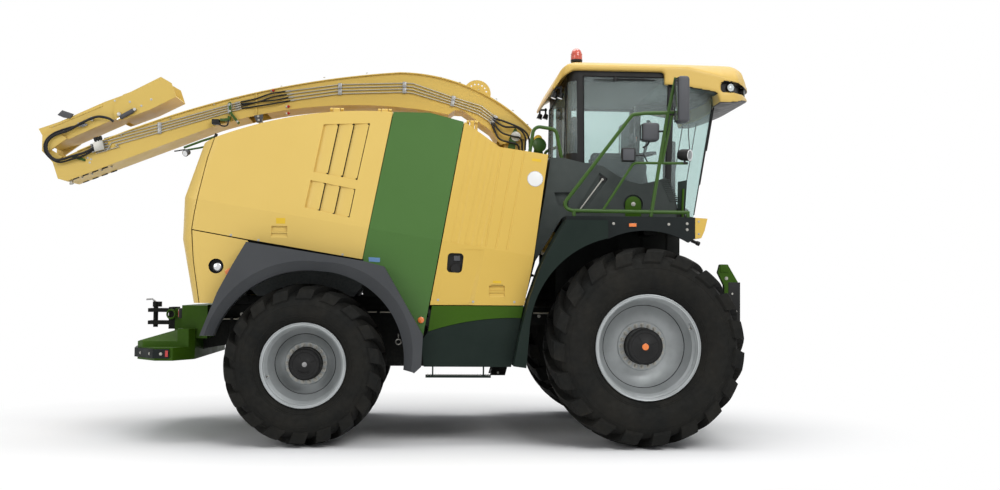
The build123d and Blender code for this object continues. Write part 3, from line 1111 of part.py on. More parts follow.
FLANGE_OUT = 22.0
HALF_DISC_X, HALF_DISC_Z = 835.0, 3630.0
SEAM_X = -1510.0
with BuildPart() as spout_arm:
    extrude(arm_area(0), amount=2 * SPOUT_HALF_W)
    extrude(arm_area(SPOUT_WALL), amount=2 * (SPOUT_HALF_W - SPOUT_WALL), mode=Mode.SUBTRACT)
    # mouth over the neck, and the outlet at the far end
    prism(((1500, 3160), (1500, 3000), (1040, 3000), (1060, 3110), (1250, 3160)),
          SPOUT_HALF_W - SPOUT_WALL, -SPOUT_HALF_W + SPOUT_WALL, mode=Mode.SUBTRACT)
    prism(((-3700, 2640), (-3560, 2640), (-3640, 2780), (-3700, 2780)), SPOUT_HALF_W - SPOUT_WALL,
          -SPOUT_HALF_W + SPOUT_WALL, mode=Mode.SUBTRACT)
    y_cylinder(LIFT_X, LIFT_Z, 42, SPOUT_HALF_W + 20, -SPOUT_HALF_W - 20, mode=Mode.SUBTRACT)
    for y in (SPOUT_HALF_W, -SPOUT_HALF_W + 30):
        prism(((-3600, 2790), (-3690, 2890), (-3680, 2930), (-3640, 2935), (-3500, 2850)), y, y - 30)
    y_cylinder(-3665, 2905, 16, SPOUT_HALF_W + 40, -SPOUT_HALF_W - 40, mode=Mode.SUBTRACT)
    # bolted flange along the top edge
    for y_left in (SPOUT_HALF_W + FLANGE_OUT, -SPOUT_HALF_W):
        with BuildSketch(side_plane(y_left)) as strip:
            with BuildLine():
                upper = ThreePointArc((-3349, 2914), (-1538, 3563), (2, 3818))
                upper2 = ThreePointArc(upper @ 1, (720, 3690), (1424, 3229))
                step = Line(upper2 @ 1, (1415, 3220))
                under2 = ThreePointArc(step @ 1, (714, 3680), (2, 3808))
                under = ThreePointArc(under2 @ 1, (-1538, 3553), (-3346, 2904))
                Line(under @ 1, upper @ 0)
            make_face()
        extrude(strip.sketch, amount=FLANGE_OUT)
    # perforated half disc on top, and the seam collar
    with BuildSketch(side_plane(-60)) as disc:
        with Locations((HALF_DISC_X, HALF_DISC_Z)):
            Circle(150)
        with Locations((HALF_DISC_X, HALF_DISC_Z)):
            with PolarLocations(105, 9, start_angle=-30, angular_range=200):
                Circle(9, mode=Mode.SUBTRACT)
    extrude(disc.sketch, amount=12)
    block((SEAM_X - 7, SEAM_X + 7), (-SPOUT_HALF_W - 16, SPOUT_HALF_W + 16), (3275, 3570))
    prism(((-1600, 3262), (-1600, 3520), (-1400, 3580), (-1400, 3318)), SPOUT_HALF_W - SPOUT_WALL,
          -SPOUT_HALF_W + SPOUT_WALL, mode=Mode.SUBTRACT)
finish(spout_arm.part, "spout_arm")

# Spout extension, folded back over the arm, and its end flap
FOLD_X, FOLD_Z = -3665.0, 2905.0
FLAP_X, FLAP_Z = -2925.0, 3306.0
FLAP_HALF_W = SPOUT_HALF_W + 18.0
with BuildPart() as spout_extension:
    prism(((-3752, 3140), (-3539, 3219), (-3395, 3288), (-3087, 3436), (-2900, 3510),
           (-2900, 3290), (-2977, 3259), (-3450, 3035), (-3650, 2965)), SPOUT_HALF_W, -SPOUT_HALF_W)
    prism(((-3540, 3300), (-3400, 3500), (-2850, 3700), (-2850, 3311), (-2977, 3275), (-3450, 3051),
           (-3560, 3010)), SPOUT_HALF_W - SPOUT_WALL, -SPOUT_HALF_W + SPOUT_WALL,
          mode=Mode.SUBTRACT)
    # ties across the open side
    for x, z in ((-3400, 3262), (-2960, 3468)):
        block((x, x + 40), (-SPOUT_HALF_W + SPOUT_WALL, SPOUT_HALF_W - SPOUT_WALL), (z, z + 8))
    for y in (SPOUT_HALF_W + 36, -SPOUT_HALF_W - 6):
        prism(((-3700, 2905), (-3665, 2870), (-3630, 2905), (-3450, 3040), (-3560, 3110),
               (-3700, 3060)), y, y - 30)
    for y in (SPOUT_HALF_W + 8, -SPOUT_HALF_W):
        prism(((-3640, 2990), (-3450, 3060), (-3560, 3110), (-3690, 3060)), y, y - 8)
    y_cylinder(FOLD_X, FOLD_Z, 15, SPOUT_HALF_W + 20, -SPOUT_HALF_W - 20)
    for y_low in (SPOUT_HALF_W - SPOUT_WALL, -FLAP_HALF_W - 12):
        y_cylinder(FLAP_X, FLAP_Z, 14, y_low + 12 + FLAP_HALF_W - SPOUT_HALF_W + SPOUT_WALL, y_low)
finish(spout_extension.part, "spout_extension")

# End flap, its cheeks outside those of the extension
with BuildPart() as spout_end_flap:
    prism(((-2968, 3258), (-2985, 3310), (-2975, 3400), (-2890, 3516), (-2815, 3545), (-2506, 3712),
           (-2394, 3648), (-2345, 3502), (-2619, 3360), (-2880, 3255), (-2925, 3240)),
          FLAP_HALF_W, -FLAP_HALF_W)
    prism(((-3000, 3200), (-3000, 3600), (-2830, 3600), (-2506, 3740), (-2300, 3700), (-2300, 3540),
           (-2619, 3378), (-2876, 3272), (-2884, 3200)), FLAP_HALF_W - 10, -FLAP_HALF_W + 10,
          mode=Mode.SUBTRACT)
    y_cylinder(FLAP_X, FLAP_Z, 15.5, FLAP_HALF_W + 5, -FLAP_HALF_W - 5, mode=Mode.SUBTRACT)
finish(spout_end_flap.part, "spout_end_flap")

# Feeder housing with the header coupler, and its rolls
MOUTH_R = CHOP_R + 8
FEED_SIDE_Y = CHOP_HALF_W + 8
HEADER_PIN = (3505.0, 1170.0)
HEADER_PIN_R = 20.0
HEADER_PIN_END = 770.0
with BuildPart() as feeder_housing:
    both_prisms(((CHOP_X - 90, 930), (CHOP_X - 90, 1070), (CHOP_X, 1090), (3060, 1330), (3460, 1330),
                 (3460, 790), (3060, 790), (CHOP_X, 910)), FEED_SIDE_Y + 22, FEED_SIDE_Y)
    block((3060, 3460), (-FEED_SIDE_Y, FEED_SIDE_Y), (1300, 1330))
    block((3060, 3460), (-FEED_SIDE_Y, FEED_SIDE_Y), (790, 812))
    both_prisms(((3340, 1000), (3560, 1106), (3560, 1573), (3437, 1780), (3352, 1779), (3331, 1700),
                 (3400, 1560), (3400, 1300)), 700, 640)
    block((3400, 3460), (-640, 640), (1330, 1430))
    for y_low in (-HEADER_PIN_END, 690):
        y_cylinder(*HEADER_PIN, HEADER_PIN_R, y_low + HEADER_PIN_END - 690, y_low)
    both_prisms(((3400, 1100), (3460, 1100), (3460, 1200), (3400, 1200)), 640, FEED_SIDE_Y + 22)
    y_cylinder(CHOP_X, CHOP_Z, MOUTH_R, FEED_SIDE_Y, -FEED_SIDE_Y, mode=Mode.SUBTRACT)
    y_cylinder(CHOP_X, CHOP_Z, PIVOT_R + 1.5, 500, -500, mode=Mode.SUBTRACT)
finish(feeder_housing.part, "feeder_housing")
FEED_R = 112.0
FEED_X = 3300.0
for name, z in (("feed_roll_upper", 1170.0), ("feed_roll_lower", 930.0)):
    with BuildPart() as roll:
        y_cylinder(FEED_X, z, FEED_R, FEED_SIDE_Y - 8, -FEED_SIDE_Y + 8)
    finish(roll.part, name)
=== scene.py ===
from math import cos, hypot, pi, radians, sin, sqrt

import bmesh
import bpy
from mathutils import Matrix, Vector


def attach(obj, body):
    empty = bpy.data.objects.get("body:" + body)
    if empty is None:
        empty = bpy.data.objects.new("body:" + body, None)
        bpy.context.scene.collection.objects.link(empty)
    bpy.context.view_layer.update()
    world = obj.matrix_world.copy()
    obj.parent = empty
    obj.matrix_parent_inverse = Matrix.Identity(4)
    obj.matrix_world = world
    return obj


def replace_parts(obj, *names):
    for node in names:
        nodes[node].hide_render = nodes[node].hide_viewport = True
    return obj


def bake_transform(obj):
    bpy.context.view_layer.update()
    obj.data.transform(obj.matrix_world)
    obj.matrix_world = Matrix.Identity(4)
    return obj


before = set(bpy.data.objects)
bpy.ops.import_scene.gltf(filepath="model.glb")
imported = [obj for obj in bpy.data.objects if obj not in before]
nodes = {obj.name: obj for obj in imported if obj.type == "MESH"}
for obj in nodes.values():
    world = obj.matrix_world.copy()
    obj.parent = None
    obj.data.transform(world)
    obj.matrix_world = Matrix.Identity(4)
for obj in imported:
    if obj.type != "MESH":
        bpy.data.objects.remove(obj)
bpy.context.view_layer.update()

scene = bpy.context.scene
ROOT = "machine"

# Materials


class Graph:
    """Builds nodes in a tree."""

    def __init__(self, tree):
        self.tree = tree

    def link(self, out, target):
        self.tree.links.new(out, target)

    def node(self, kind, inputs, out, **settings):
        """The named output of a new node; an input takes another output or a plain value."""
        node = self.tree.nodes.new(f"ShaderNode{kind}")
        for key, value in settings.items():
            setattr(node, key, value)
        for key, value in inputs.items():
            socket = node.inputs[key]
            if isinstance(value, bpy.types.NodeSocket):
                self.link(value, socket)
            else:
                socket.default_value = (*value, 1) if socket.type == "RGBA" else value
        return node.outputs[out]

    def math(self, operation, a, b=0.0):
        return self.node("Math", {0: a, 1: b}, "Value", operation=operation)

    def mix_shader(self, fac, first, second, output):
        """The tree's output: a blend of two shaders."""
        blend = self.node("MixShader", {"Fac": fac, 1: first, 2: second}, "Shader")
        self.link(blend, self.tree.nodes[output].inputs["Surface"])

    def background_share(self):
        """One for camera, glossy and transmission rays."""
        total = self.node("LightPath", {}, "Is Camera Ray")
        for ray in ("Is Glossy Ray", "Is Transmission Ray"):
            total = self.math("MAXIMUM", total, self.node("LightPath", {}, ray))
        return total


class Shader(Graph):
    """A material under construction."""

    def __init__(self, name, rough=0.5, metal=0.0, gloss=0.5):
        self.mat = bpy.data.materials.new(name)
        self.mat.use_nodes = True
        super().__init__(self.mat.node_tree)
        self.bsdf = self.tree.nodes["Principled BSDF"]
        self.put("Roughness", rough)
        self.put("Metallic", metal)
        self.put("Specular IOR Level", gloss)
        self.coords = self.node("TexCoord", {}, "Object")

    def put(self, socket, value):
        self.bsdf.inputs[socket].default_value = value

    def stretched(self, stretch):
        return self.node("Mapping", {"Vector": self.coords, "Scale": stretch}, "Vector")

    def noise(self, scale, detail=3.0, rough=0.5, stretch=(1, 1, 1)):
        return self.node("TexNoise", {"Vector": self.stretched(stretch), "Scale": scale, "Detail": detail,
                                      "Roughness": rough}, "Fac")

    def cells(self, scale):
        return self.node("TexVoronoi", {"Vector": self.stretched((1, 1, 1)), "Scale": scale}, "Distance")

    def axis(self, which):
        return self.node("SeparateXYZ", {"Vector": self.coords}, which)

    def ramp(self, fac, stops):
        node = self.tree.nodes.new("ShaderNodeValToRGB")
        for element, (at, grey) in zip(node.color_ramp.elements, stops):
            element.position = at
            element.color = (grey, grey, grey, 1)
        self.link(fac, node.inputs["Fac"])
        return node.outputs["Color"]

    def remap(self, fac, low, high, to_low=0.0, to_high=1.0):
        return self.node("MapRange", {"Value": fac, "From Min": low, "From Max": high, "To Min": to_low,
                                      "To Max": to_high}, "Result")

    def mix(self, fac, a, b):
        return self.node("Mix", {0: fac, 6: a, 7: b}, 2, data_type="RGBA")

    def colour(self, value):
        self.link(value, self.bsdf.inputs["Base Color"])

    def roughness(self, value):
        self.link(value, self.bsdf.inputs["Roughness"])

    def bump(self, height, strength=0.2, distance=0.002):
        """Bumps on top of those already there."""
        inputs = {"Strength": strength, "Distance": distance, "Height": height}
        normal = self.bsdf.inputs["Normal"]
        if normal.is_linked:
            inputs["Normal"] = normal.links[0].from_socket
        self.link(self.node("Bump", inputs, "Normal"), normal)


def paint(name, base, shade, rough=0.38, coat=0.08, dust=0.08, gloss=0.25):
    """Sprayed paint: slow colour drift, fine orange peel, dust towards the ground."""
    s = Shader(name, rough, 0.0, gloss)
    drift = s.mix(s.noise(1.3, 2), base, shade)
    speck = s.ramp(s.noise(38, 5, 0.7), ((0.42, 0.0), (0.72, 1.0)))
    low = s.remap(s.axis("Z"), 1.7, 0.5)
    film = s.math("MULTIPLY", s.math("MULTIPLY", low, speck), dust)
    s.colour(s.mix(film, drift, (0.30, 0.26, 0.20)))
    s.roughness(s.remap(s.noise(7, 4), 0.3, 0.7, rough - 0.05, rough + 0.10))
    s.put("Coat Weight", coat)
    s.put("Coat Roughness", 0.12)
    s.bump(s.noise(420, 2), 0.035, 0.0008)
    return s.mat


def moulded(name, base, shade, rough=0.62, grain=260, strength=0.18, gloss=0.25):
    """Moulded plastic: leathery grain, greyed patches."""
    s = Shader(name, rough, 0.0, gloss)
    s.colour(s.mix(s.ramp(s.noise(2.1, 4), ((0.3, 0.0), (0.75, 1.0))), base, shade))
    s.roughness(s.remap(s.noise(11, 4), 0.3, 0.7, rough - 0.08, rough + 0.12))
    s.bump(s.cells(grain), strength, 0.0008)
    return s.mat


def rubber(name, axle_x, axle_z, rim_r):
    """Tyre rubber: fine grain, dry dust, rings moulded on the wall near the rim."""
    s = Shader(name, 0.82, 0.0, 0.12)
    patch = s.ramp(s.noise(3.4, 5, 0.65), ((0.34, 0.0), (0.7, 1.0)))
    s.colour(s.mix(patch, (0.0085, 0.009, 0.0085), (0.0165, 0.0155, 0.013)))
    s.roughness(s.remap(s.noise(24, 4), 0.3, 0.7, 0.66, 0.90))
    dx = s.math("SUBTRACT", s.axis("X"), axle_x)
    dz = s.math("SUBTRACT", s.axis("Z"), axle_z)
    radius = s.math("SQRT", s.math("ADD", s.math("MULTIPLY", dx, dx), s.math("MULTIPLY", dz, dz)))
    rings = s.math("SINE", s.math("MULTIPLY", radius, 2 * pi / 0.016))
    inner = s.remap(radius, rim_r + 0.10, rim_r + 0.06)
    s.bump(s.math("MULTIPLY", rings, inner), 0.5, 0.0012)
    s.bump(s.noise(190, 4, 0.7), 0.25, 0.0012)
    return s.mat


def silver(name):
    """Sprayed silver rim: metallic flakes and patches of brake dust."""
    s = Shader(name, 0.46, 0.45)
    s.colour(s.mix(s.ramp(s.noise(4.0, 5), ((0.35, 0.0), (0.75, 1.0))), (0.39, 0.41, 0.415),
                   (0.30, 0.32, 0.32)))
    s.roughness(s.remap(s.noise(16, 4), 0.3, 0.7, 0.40, 0.56))
    s.put("Coat Weight", 0.2)
    s.put("Coat Roughness", 0.2)
    s.bump(s.noise(700, 2), 0.05, 0.0005)
    return s.mat


def steel(name, base=(0.32, 0.32, 0.32), rough=0.4, brushed=(1, 1, 30), metal=0.9):
    """Bare or zinc-plated metal with a drawn finish."""
    s = Shader(name, rough, metal)
    s.colour(s.mix(s.noise(9, 4), base, tuple(0.72 * v for v in base)))
    s.roughness(s.remap(s.noise(45, 4, 0.6, brushed), 0.3, 0.7, max(rough - 0.1, 0.02),
                        rough + 0.15))
    s.bump(s.noise(120, 3, 0.6, brushed), 0.08, 0.0005)
    return s.mat


def glass(name, tint=(0.80, 0.89, 0.87), share=(0.06, 0.11)):
    """Thin tinted safety glass: mostly see-through, with a clear reflection."""
    s = Shader(name, 0.02)
    s.put("Base Color", (*tint, 1))
    clear = s.node("BsdfTransparent", {"Color": tint}, "BSDF")
    s.mix_shader(s.remap(s.noise(2.5, 3), 0.3, 0.7, *share), clear, s.bsdf.outputs["BSDF"],
                 "Material Output")
    return s.mat


def lens(name, base, painted_glow=0.0, ribs=160):
    """Moulded lamp lens with fine ribs and a faint painted glow."""
    s = Shader(name, 0.12)
    wave = s.noise(ribs, 1, 0.5, (1, 1, 0.05))
    s.colour(s.mix(wave, base, tuple(0.6 * v for v in base)))
    s.put("Coat Weight", 0.8)
    s.put("Coat Roughness", 0.04)
    if painted_glow > 0:
        s.put("Emission Color", (*base, 1))
        s.put("Emission Strength", painted_glow)
    s.bump(wave, 0.3, 0.001)
    return s.mat


def fabric(name, base, shade):
    """Woven seat cloth."""
    s = Shader(name, 0.9, 0.0, 0.2)
    warp = s.noise(520, 2, 0.5, (1, 0.15, 1))
    weft = s.noise(520, 2, 0.5, (0.15, 1, 1))
    weave = s.math("MAXIMUM", warp, weft)
    s.colour(s.mix(weave, shade, base))
    s.put("Sheen Weight", 0.3)
    s.bump(weave, 0.35, 0.001)
    return s.mat


def screen(name, base, scale):
    """Perforated or woven screen: dark holes in a painted sheet."""
    s = Shader(name, 0.6, 0.0, 0.25)
    holes = s.ramp(s.cells(scale), ((0.30, 0.0), (0.42, 1.0)))
    s.colour(s.mix(holes, (0.003, 0.003, 0.003), base))
    s.roughness(s.remap(s.noise(12, 3), 0.3, 0.7, 0.5, 0.75))
    s.bump(holes, 0.5, 0.002)
    return s.mat


BEIGE = paint("beige_enamel", (0.690, 0.490, 0.135), (0.650, 0.450, 0.115))
# a darker copy of the beige enamel: painted shade on the upright service panels, the platform noses and the
# discharge tower
BEIGE_SHADED = paint("beige_enamel_painted_shade", (0.640, 0.430, 0.090), (0.600, 0.395, 0.075))
BEIGE_ROOF = paint("roof_enamel", (0.640, 0.440, 0.120), (0.600, 0.400, 0.100))
BEIGE_SPOUT = paint("spout_enamel", (0.650, 0.465, 0.120), (0.600, 0.415, 0.095), 0.42)
GREEN = paint("green_enamel", (0.060, 0.150, 0.030), (0.050, 0.125, 0.024))
GREEN_LOW = paint("green_enamel_low", (0.036, 0.094, 0.003), (0.028, 0.074, 0.002), 0.44, 0.0, 0.05, 0.14)
GREEN_TUBE = paint("green_tube_enamel", (0.034, 0.088, 0.008), (0.026, 0.068, 0.006), 0.36)
DARK = paint("black_chassis_paint", (0.007, 0.008, 0.007), (0.011, 0.012, 0.011), 0.6, 0.0, 0.05, 0.12)
PLASTIC = moulded("dark_moulding", (0.036, 0.044, 0.041), (0.048, 0.057, 0.053))
FENDER = moulded("fender_moulding", (0.034, 0.037, 0.041), (0.046, 0.049, 0.053), 0.44, gloss=0.35)
GREEN_DARK = moulded("dark_green_moulding", (0.006, 0.013, 0.010), (0.010, 0.018, 0.014), 0.5, gloss=0.15)
BEAM = moulded("beam_coating", (0.007, 0.010, 0.010), (0.011, 0.014, 0.014), 0.5, gloss=0.15)
BLACK = moulded("black_moulding", (0.006, 0.006, 0.006), (0.012, 0.012, 0.012), 0.45, 320, 0.12)
GREY = moulded("grey_moulding", (0.060, 0.062, 0.068), (0.080, 0.082, 0.088), 0.5)
INSIDE = moulded("cab_lining", (0.030, 0.031, 0.032), (0.044, 0.045, 0.046), 0.7)
SILVER = silver("rim_silver_paint")
STEEL = steel("drawn_steel")
ZINC = steel("zinc_fasteners", (0.46, 0.45, 0.41), 0.36, (1, 1, 30), 0.7)
PIPE = steel("plated_pipe", (0.47, 0.44, 0.36), 0.38, (30, 1, 1), 0.55)
CAST = steel("engine_casting", (0.10, 0.11, 0.11), 0.62, (1, 1, 1))
CHROME = steel("lamp_reflector", (0.80, 0.81, 0.82), 0.12, (1, 1, 1))
MIRROR = steel("mirror_glass", (0.75, 0.77, 0.78), 0.06, (1, 1, 1))
GLASS = glass("cab_safety_glass", (0.84, 0.91, 0.90), (0.07, 0.12))
LAMP_GLASS = glass("lamp_cover_glass", (0.90, 0.92, 0.92), (0.10, 0.18))
RUBBER_FRONT = rubber("front_tyre_rubber", 2.420, 0.965, 0.508)
RUBBER_REAR = rubber("rear_tyre_rubber", -0.848, 0.773, 0.406)
HOSE = moulded("hose_rubber", (0.008, 0.008, 0.009), (0.016, 0.016, 0.017), 0.5, 420, 0.3)
SEAL = moulded("seal_rubber", (0.004, 0.004, 0.004), (0.008, 0.008, 0.008), 0.7)
# the lenses' emission is a painted glow; ORANGE and RED also give it to reflectors, the front hub cap's dot,
# cab knobs and plug caps, which are no lamps
ORANGE = lens("orange_lens", (0.85, 0.20, 0.02), 0.10)
BEACON = lens("beacon_lens", (0.62, 0.085, 0.045), 0.08, 60)
RED = lens("red_lens", (0.55, 0.012, 0.010), 0.05)
RED_CAP = moulded("red_cap_plastic", (0.42, 0.020, 0.016), (0.34, 0.016, 0.014), 0.45)
BLUE = moulded("blue_cap_plastic", (0.030, 0.090, 0.300), (0.025, 0.075, 0.250), 0.45)
CLOTH = fabric("seat_cloth", (0.055, 0.057, 0.060), (0.018, 0.018, 0.020))
PIPING = fabric("seat_piping", (0.10, 0.10, 0.10), (0.05, 0.05, 0.05))
WHITE = paint("white_sign", (0.78, 0.78, 0.77), (0.72, 0.72, 0.71), 0.4, 0.2, 0.0)
YELLOW = moulded("yellow_label_film", (0.72, 0.47, 0.030), (0.66, 0.42, 0.028), 0.4)
PALE_BLUE = moulded("blue_label_film", (0.16, 0.30, 0.52), (0.13, 0.25, 0.45), 0.4)
SCREEN = screen("black_screen", (0.020, 0.020, 0.020), 190)
GRILLE = screen("radiator_screen", (0.030, 0.030, 0.028), 240)
MAT = screen("anti_slip_coating", (0.030, 0.036, 0.034), 60)

LOOK = {
    "chassis_frame": DARK, "front_axle": DARK, "rear_axle": DARK, "engine_block": CAST,
    "counterweight": GREEN_LOW, "rear_bumper": BEAM, "trailer_hitch": DARK,
    "green_side_panels": GREEN, "top_deck": BEIGE, "rear_side_panels": BEIGE,
    "rear_fenders": FENDER, "front_fender": GREEN_DARK, "side_skirts": GREEN_DARK,
    "skirt_tops": GREEN_LOW, "fuel_tanks": BLACK, "cab_plinth": PLASTIC, "platform": BEAM,
    "platform_noses": BEIGE_SHADED, "cab_frame": BLACK, "cab_glass": GLASS, "cab_roof": BEIGE_ROOF,
    "roof_lamps": BLACK, "driver_seat": CLOTH, "seat_base": INSIDE, "steering_column": INSIDE,
    "handrails": GREEN_TUBE, "mirrors": GREY, "lamps": BLACK, "access_ladder": DARK,
    "chopper_housing": GREEN_LOW, "discharge_tower": BEIGE_SHADED, "tie_rod": STEEL,
    "knuckle_right": DARK, "knuckle_left": DARK, "spout_turret": BEIGE_SPOUT,
    "spout_arm": BEIGE_SPOUT, "spout_extension": BEIGE_SPOUT, "spout_end_flap": BEIGE_SPOUT,
    "rear_hood": BEIGE, "cab_door": BLACK, "cab_door_glass": GLASS, "feeder_housing": GREEN_LOW,
    "feed_roll_upper": STEEL, "feed_roll_lower": STEEL,
}
SIDES = (("right", -1), ("left", 1))
for side_name, side in SIDES:
    LOOK[f"front_tyre_{side_name}"] = RUBBER_FRONT
    LOOK[f"rear_tyre_{side_name}"] = RUBBER_REAR
    LOOK[f"front_rim_{side_name}"] = SILVER
    LOOK[f"rear_rim_{side_name}"] = SILVER
    LOOK[f"engine_panel_{side_name}"] = BEIGE
    LOOK[f"service_panel_{side_name}"] = BEIGE_SHADED
for name, node in nodes.items():
    node.data.materials.clear()
    node.data.materials.append(LOOK[name])


# Mesh building


def turns(count, shift=0.0):
    """Angles of equal steps round a circle."""
    return [2 * pi * (i + shift) / count for i in range(count)]


def axes_about(axis):
    """Unit vectors: one along the axis and two across it."""
    along = Vector(axis).normalized()
    u = along.orthogonal().normalized()
    return along, u, along.cross(u)


# degrees between faces from which an edge shows as a crease
CREASE = 34


class Piece:
    """Collects forms in one mesh, each in one of the piece's materials."""

    def __init__(self, name, body, *materials):
        self.name = name
        self.body = body
        self.materials = materials
        self.bm = bmesh.new()
        self.look = 0

    def use(self, material):
        self.look = self.materials.index(material)
        return self

    def face(self, verts):
        self.bm.faces.new(verts).material_index = self.look

    def skin(self, rings, capped=True):
        """Faces between rings of points; a ring of one point closes to a tip."""
        rows = [[self.bm.verts.new(p) for p in ring] for ring in rings]
        for a, b in zip(rows, rows[1:]):
            count = max(len(a), len(b))
            for i in range(count):
                j = (i + 1) % count
                if len(a) == 1:
                    self.face((a[0], b[j], b[i]))
                elif len(b) == 1:
                    self.face((a[i], a[j], b[0]))
                else:
                    self.face((a[i], a[j], b[j], b[i]))
        if capped:
            for row in (rows[0], rows[-1]):
                if len(row) > 2:
                    self.face(row)

    def lathe(self, centre, axis, profile, sides=24, capped=True):
        """A turned form; the profile lists distance along the axis and radius."""
        along, u, v = axes_about(axis)
        rings = []
        for reach, radius in profile:
            mid = Vector(centre) + along * reach
            steps = turns(sides) if radius else [0.0]
            rings.append([mid + (u * cos(a) + v * sin(a)) * radius for a in steps])
        self.skin(rings, capped)

    def ring(self, centre, axis, radius, thick, sides=64, flat=1.0):
        """A closed round bead about an axis."""
        along, u, v = axes_about(axis)
        rows = []
        for a in turns(sides):
            out = u * cos(a) + v * sin(a)
            mid = Vector(centre) + out * radius
            rows.append([self.bm.verts.new(mid + out * (cos(b) * thick) + along * (sin(b) * thick * flat))
                         for b in turns(8)])
        for row, after in zip(rows, rows[1:] + rows[:1]):
            for k in range(8):
                m = (k + 1) % 8
                self.face((row[k], row[m], after[m], after[k]))

    def tube(self, points, radius, sides=10):
        """A round bar along points, its ends closed."""
        points = [Vector(p) for p in points]
        heading = (points[1] - points[0]).normalized()
        u = heading.orthogonal().normalized()
        rings = []
        for i, point in enumerate(points):
            before = (point - points[i - 1]).normalized() if i else heading
            after = (points[i + 1] - point).normalized() if i + 1 < len(points) else before
            heading = (before + after).normalized()
            u = (u - heading * u.dot(heading)).normalized()
            v = heading.cross(u)
            widen = 1 / max(before.dot(heading), 0.5)
            rings.append([point + (u * cos(a) + v * sin(a)) * radius * widen for a in turns(sides)])
        self.skin(rings)

    def hose(self, points, radius, sides=10, steps=6):
        """A flexible hose through points, its line smooth."""
        self.tube(curve_through(points, steps), radius, sides)

    def merge(self, other):
        """Take in another bmesh, in the current material."""
        carrier = bpy.data.meshes.new("carrier")
        other.to_mesh(carrier)
        other.free()
        first = len(self.bm.faces)
        self.bm.from_mesh(carrier)
        bpy.data.meshes.remove(carrier)
        self.bm.faces.ensure_lookup_table()
        for face in self.bm.faces[first:]:
            face.material_index = self.look

    def slab(self, points, push, bevel=0.002):
        """A flat outline pushed through along a vector, its edges rounded."""
        bm = bmesh.new()
        low = [bm.verts.new(p) for p in points]
        high = [bm.verts.new(Vector(p) + Vector(push)) for p in points]
        bm.faces.new(low)
        bm.faces.new(high)
        for i in range(len(low)):
            j = (i + 1) % len(low)
            bm.faces.new((low[i], low[j], high[j], high[i]))
        if bevel > 0:
            bmesh.ops.recalc_face_normals(bm, faces=bm.faces)
            bmesh.ops.bevel(bm, geom=bm.edges[:], offset=bevel, segments=2, affect="EDGES",
                            profile=0.6, clamp_overlap=True)
        self.merge(bm)

    def plate(self, outline, y, thick, bevel=0.002):
        """A side-view outline in X and Z, from y on by thick."""
        self.slab(along_y(outline, y), (0, thick, 0), bevel)

    def box(self, low, high, bevel=0.004):
        x0, y0, z0 = low
        x1, y1, z1 = high
        self.slab([(x0, y0, z0), (x1, y0, z0), (x1, y0, z1), (x0, y0, z1)], (0, y1 - y0, 0), bevel)

    def side_box(self, side, low, high, bevel=0.004):
        """A box given for the left-hand side, set on the side asked for."""
        y0, y1 = sorted((side * low[1], side * high[1]))
        self.box((low[0], y0, low[2]), (high[0], y1, high[2]), bevel)

    def bolt(self, at, axis, radius, high):
        """A hexagon head on its washer."""
        self.lathe(at, axis, ((-0.001, radius * 1.5), (high * 0.2, radius * 1.5)), 14)
        self.lathe(at, axis, ((0.0, radius), (high * 0.86, radius), (high, radius * 0.82)), 6)

    def side_bolts(self, side, points, y, radius, high):
        """Bolts on a side wall at side-view points X and Z."""
        for x, z in points:
            self.bolt((x, side * y, z), (0, side, 0), radius, high)

    def done(self):
        """Make the object, shade it smooth between creases and hang it on its body."""
        bmesh.ops.recalc_face_normals(self.bm, faces=self.bm.faces)
        mesh = bpy.data.meshes.new(self.name)
        self.bm.to_mesh(mesh)
        self.bm.free()
        for material in self.materials:
            mesh.materials.append(material)
        mesh.shade_smooth()
        mesh.set_sharp_from_angle(angle=radians(CREASE))
        obj = bpy.data.objects.new(self.name, mesh)
        scene.collection.objects.link(obj)
        if self.body:
            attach(obj, self.body)
        return obj


def curve_through(points, steps):
    """Points on a smooth line through the given ones."""
    points = [Vector(p) for p in points]
    ends = [points[0] * 2 - points[1]] + points + [points[-1] * 2 - points[-2]]
    line = []
    for i in range(1, len(ends) - 2):
        a, b, c, d = ends[i - 1:i + 3]
        for k in range(steps):
            t = k / steps
            line.append(0.5 * (2 * b + (c - a) * t + (2 * a - 5 * b + 4 * c - d) * t * t
                               + (3 * b - a - 3 * c + d) * t ** 3))
    return line + [points[-1]]


def apply_modifier(obj, kind, **settings):
    """Put a modifier on an object and apply it."""
    bpy.context.view_layer.objects.active = obj
    modifier = obj.modifiers.new(kind.lower(), kind)
    for key, value in settings.items():
        setattr(modifier, key, value)
    bpy.ops.object.modifier_apply(modifier=modifier.name)


def rounded_block(low, high, corner):
    """A bmesh block with round edges, its centre and its size."""
    bm = bmesh.new()
    centre = (Vector(low) + Vector(high)) / 2
    size = Vector(high) - Vector(low)
    bmesh.ops.create_cube(bm, size=1.0, matrix=Matrix.Translation(centre) @ Matrix.Diagonal((*size, 1)))
    bmesh.ops.bevel(bm, geom=bm.edges[:], offset=corner, segments=4, affect="EDGES", profile=0.5)
    return bm, centre, size


def along_y(points, y):
    """Side-view points X and Z set at the given y."""
    return [(x, y, z) for x, z in points]


def lerp(a, b, share):
    return tuple(p + (q - p) * share for p, q in zip(a, b))


HOOD_HALF_Y = 1.290
HOOD_TOP_Z = 3.330
HOOD_LEAN = 0.140


def hood_half_width(x, z):
    """Half width of the hood's outer skin: upright below the crease, leaning in above it."""
    crease = 2.045 - 0.158 * x
    rise = max(z - crease, 0.0) / (HOOD_TOP_Z - crease)
    return HOOD_HALF_Y - HOOD_LEAN * rise


def stick_label(piece, look, corners, side):
    """A blank label on the hood's skin, its corners given in side view."""
    piece.use(look).slab(on_hood(corners, side, -0.001), (0, -0.003 * side, 0), 0)


def on_hood(points, side, depth):
    """Side-view points laid on the hood's skin, depth metres inside it."""
    return [(x, side * (hood_half_width(x, z) - depth), z) for x, z in points]


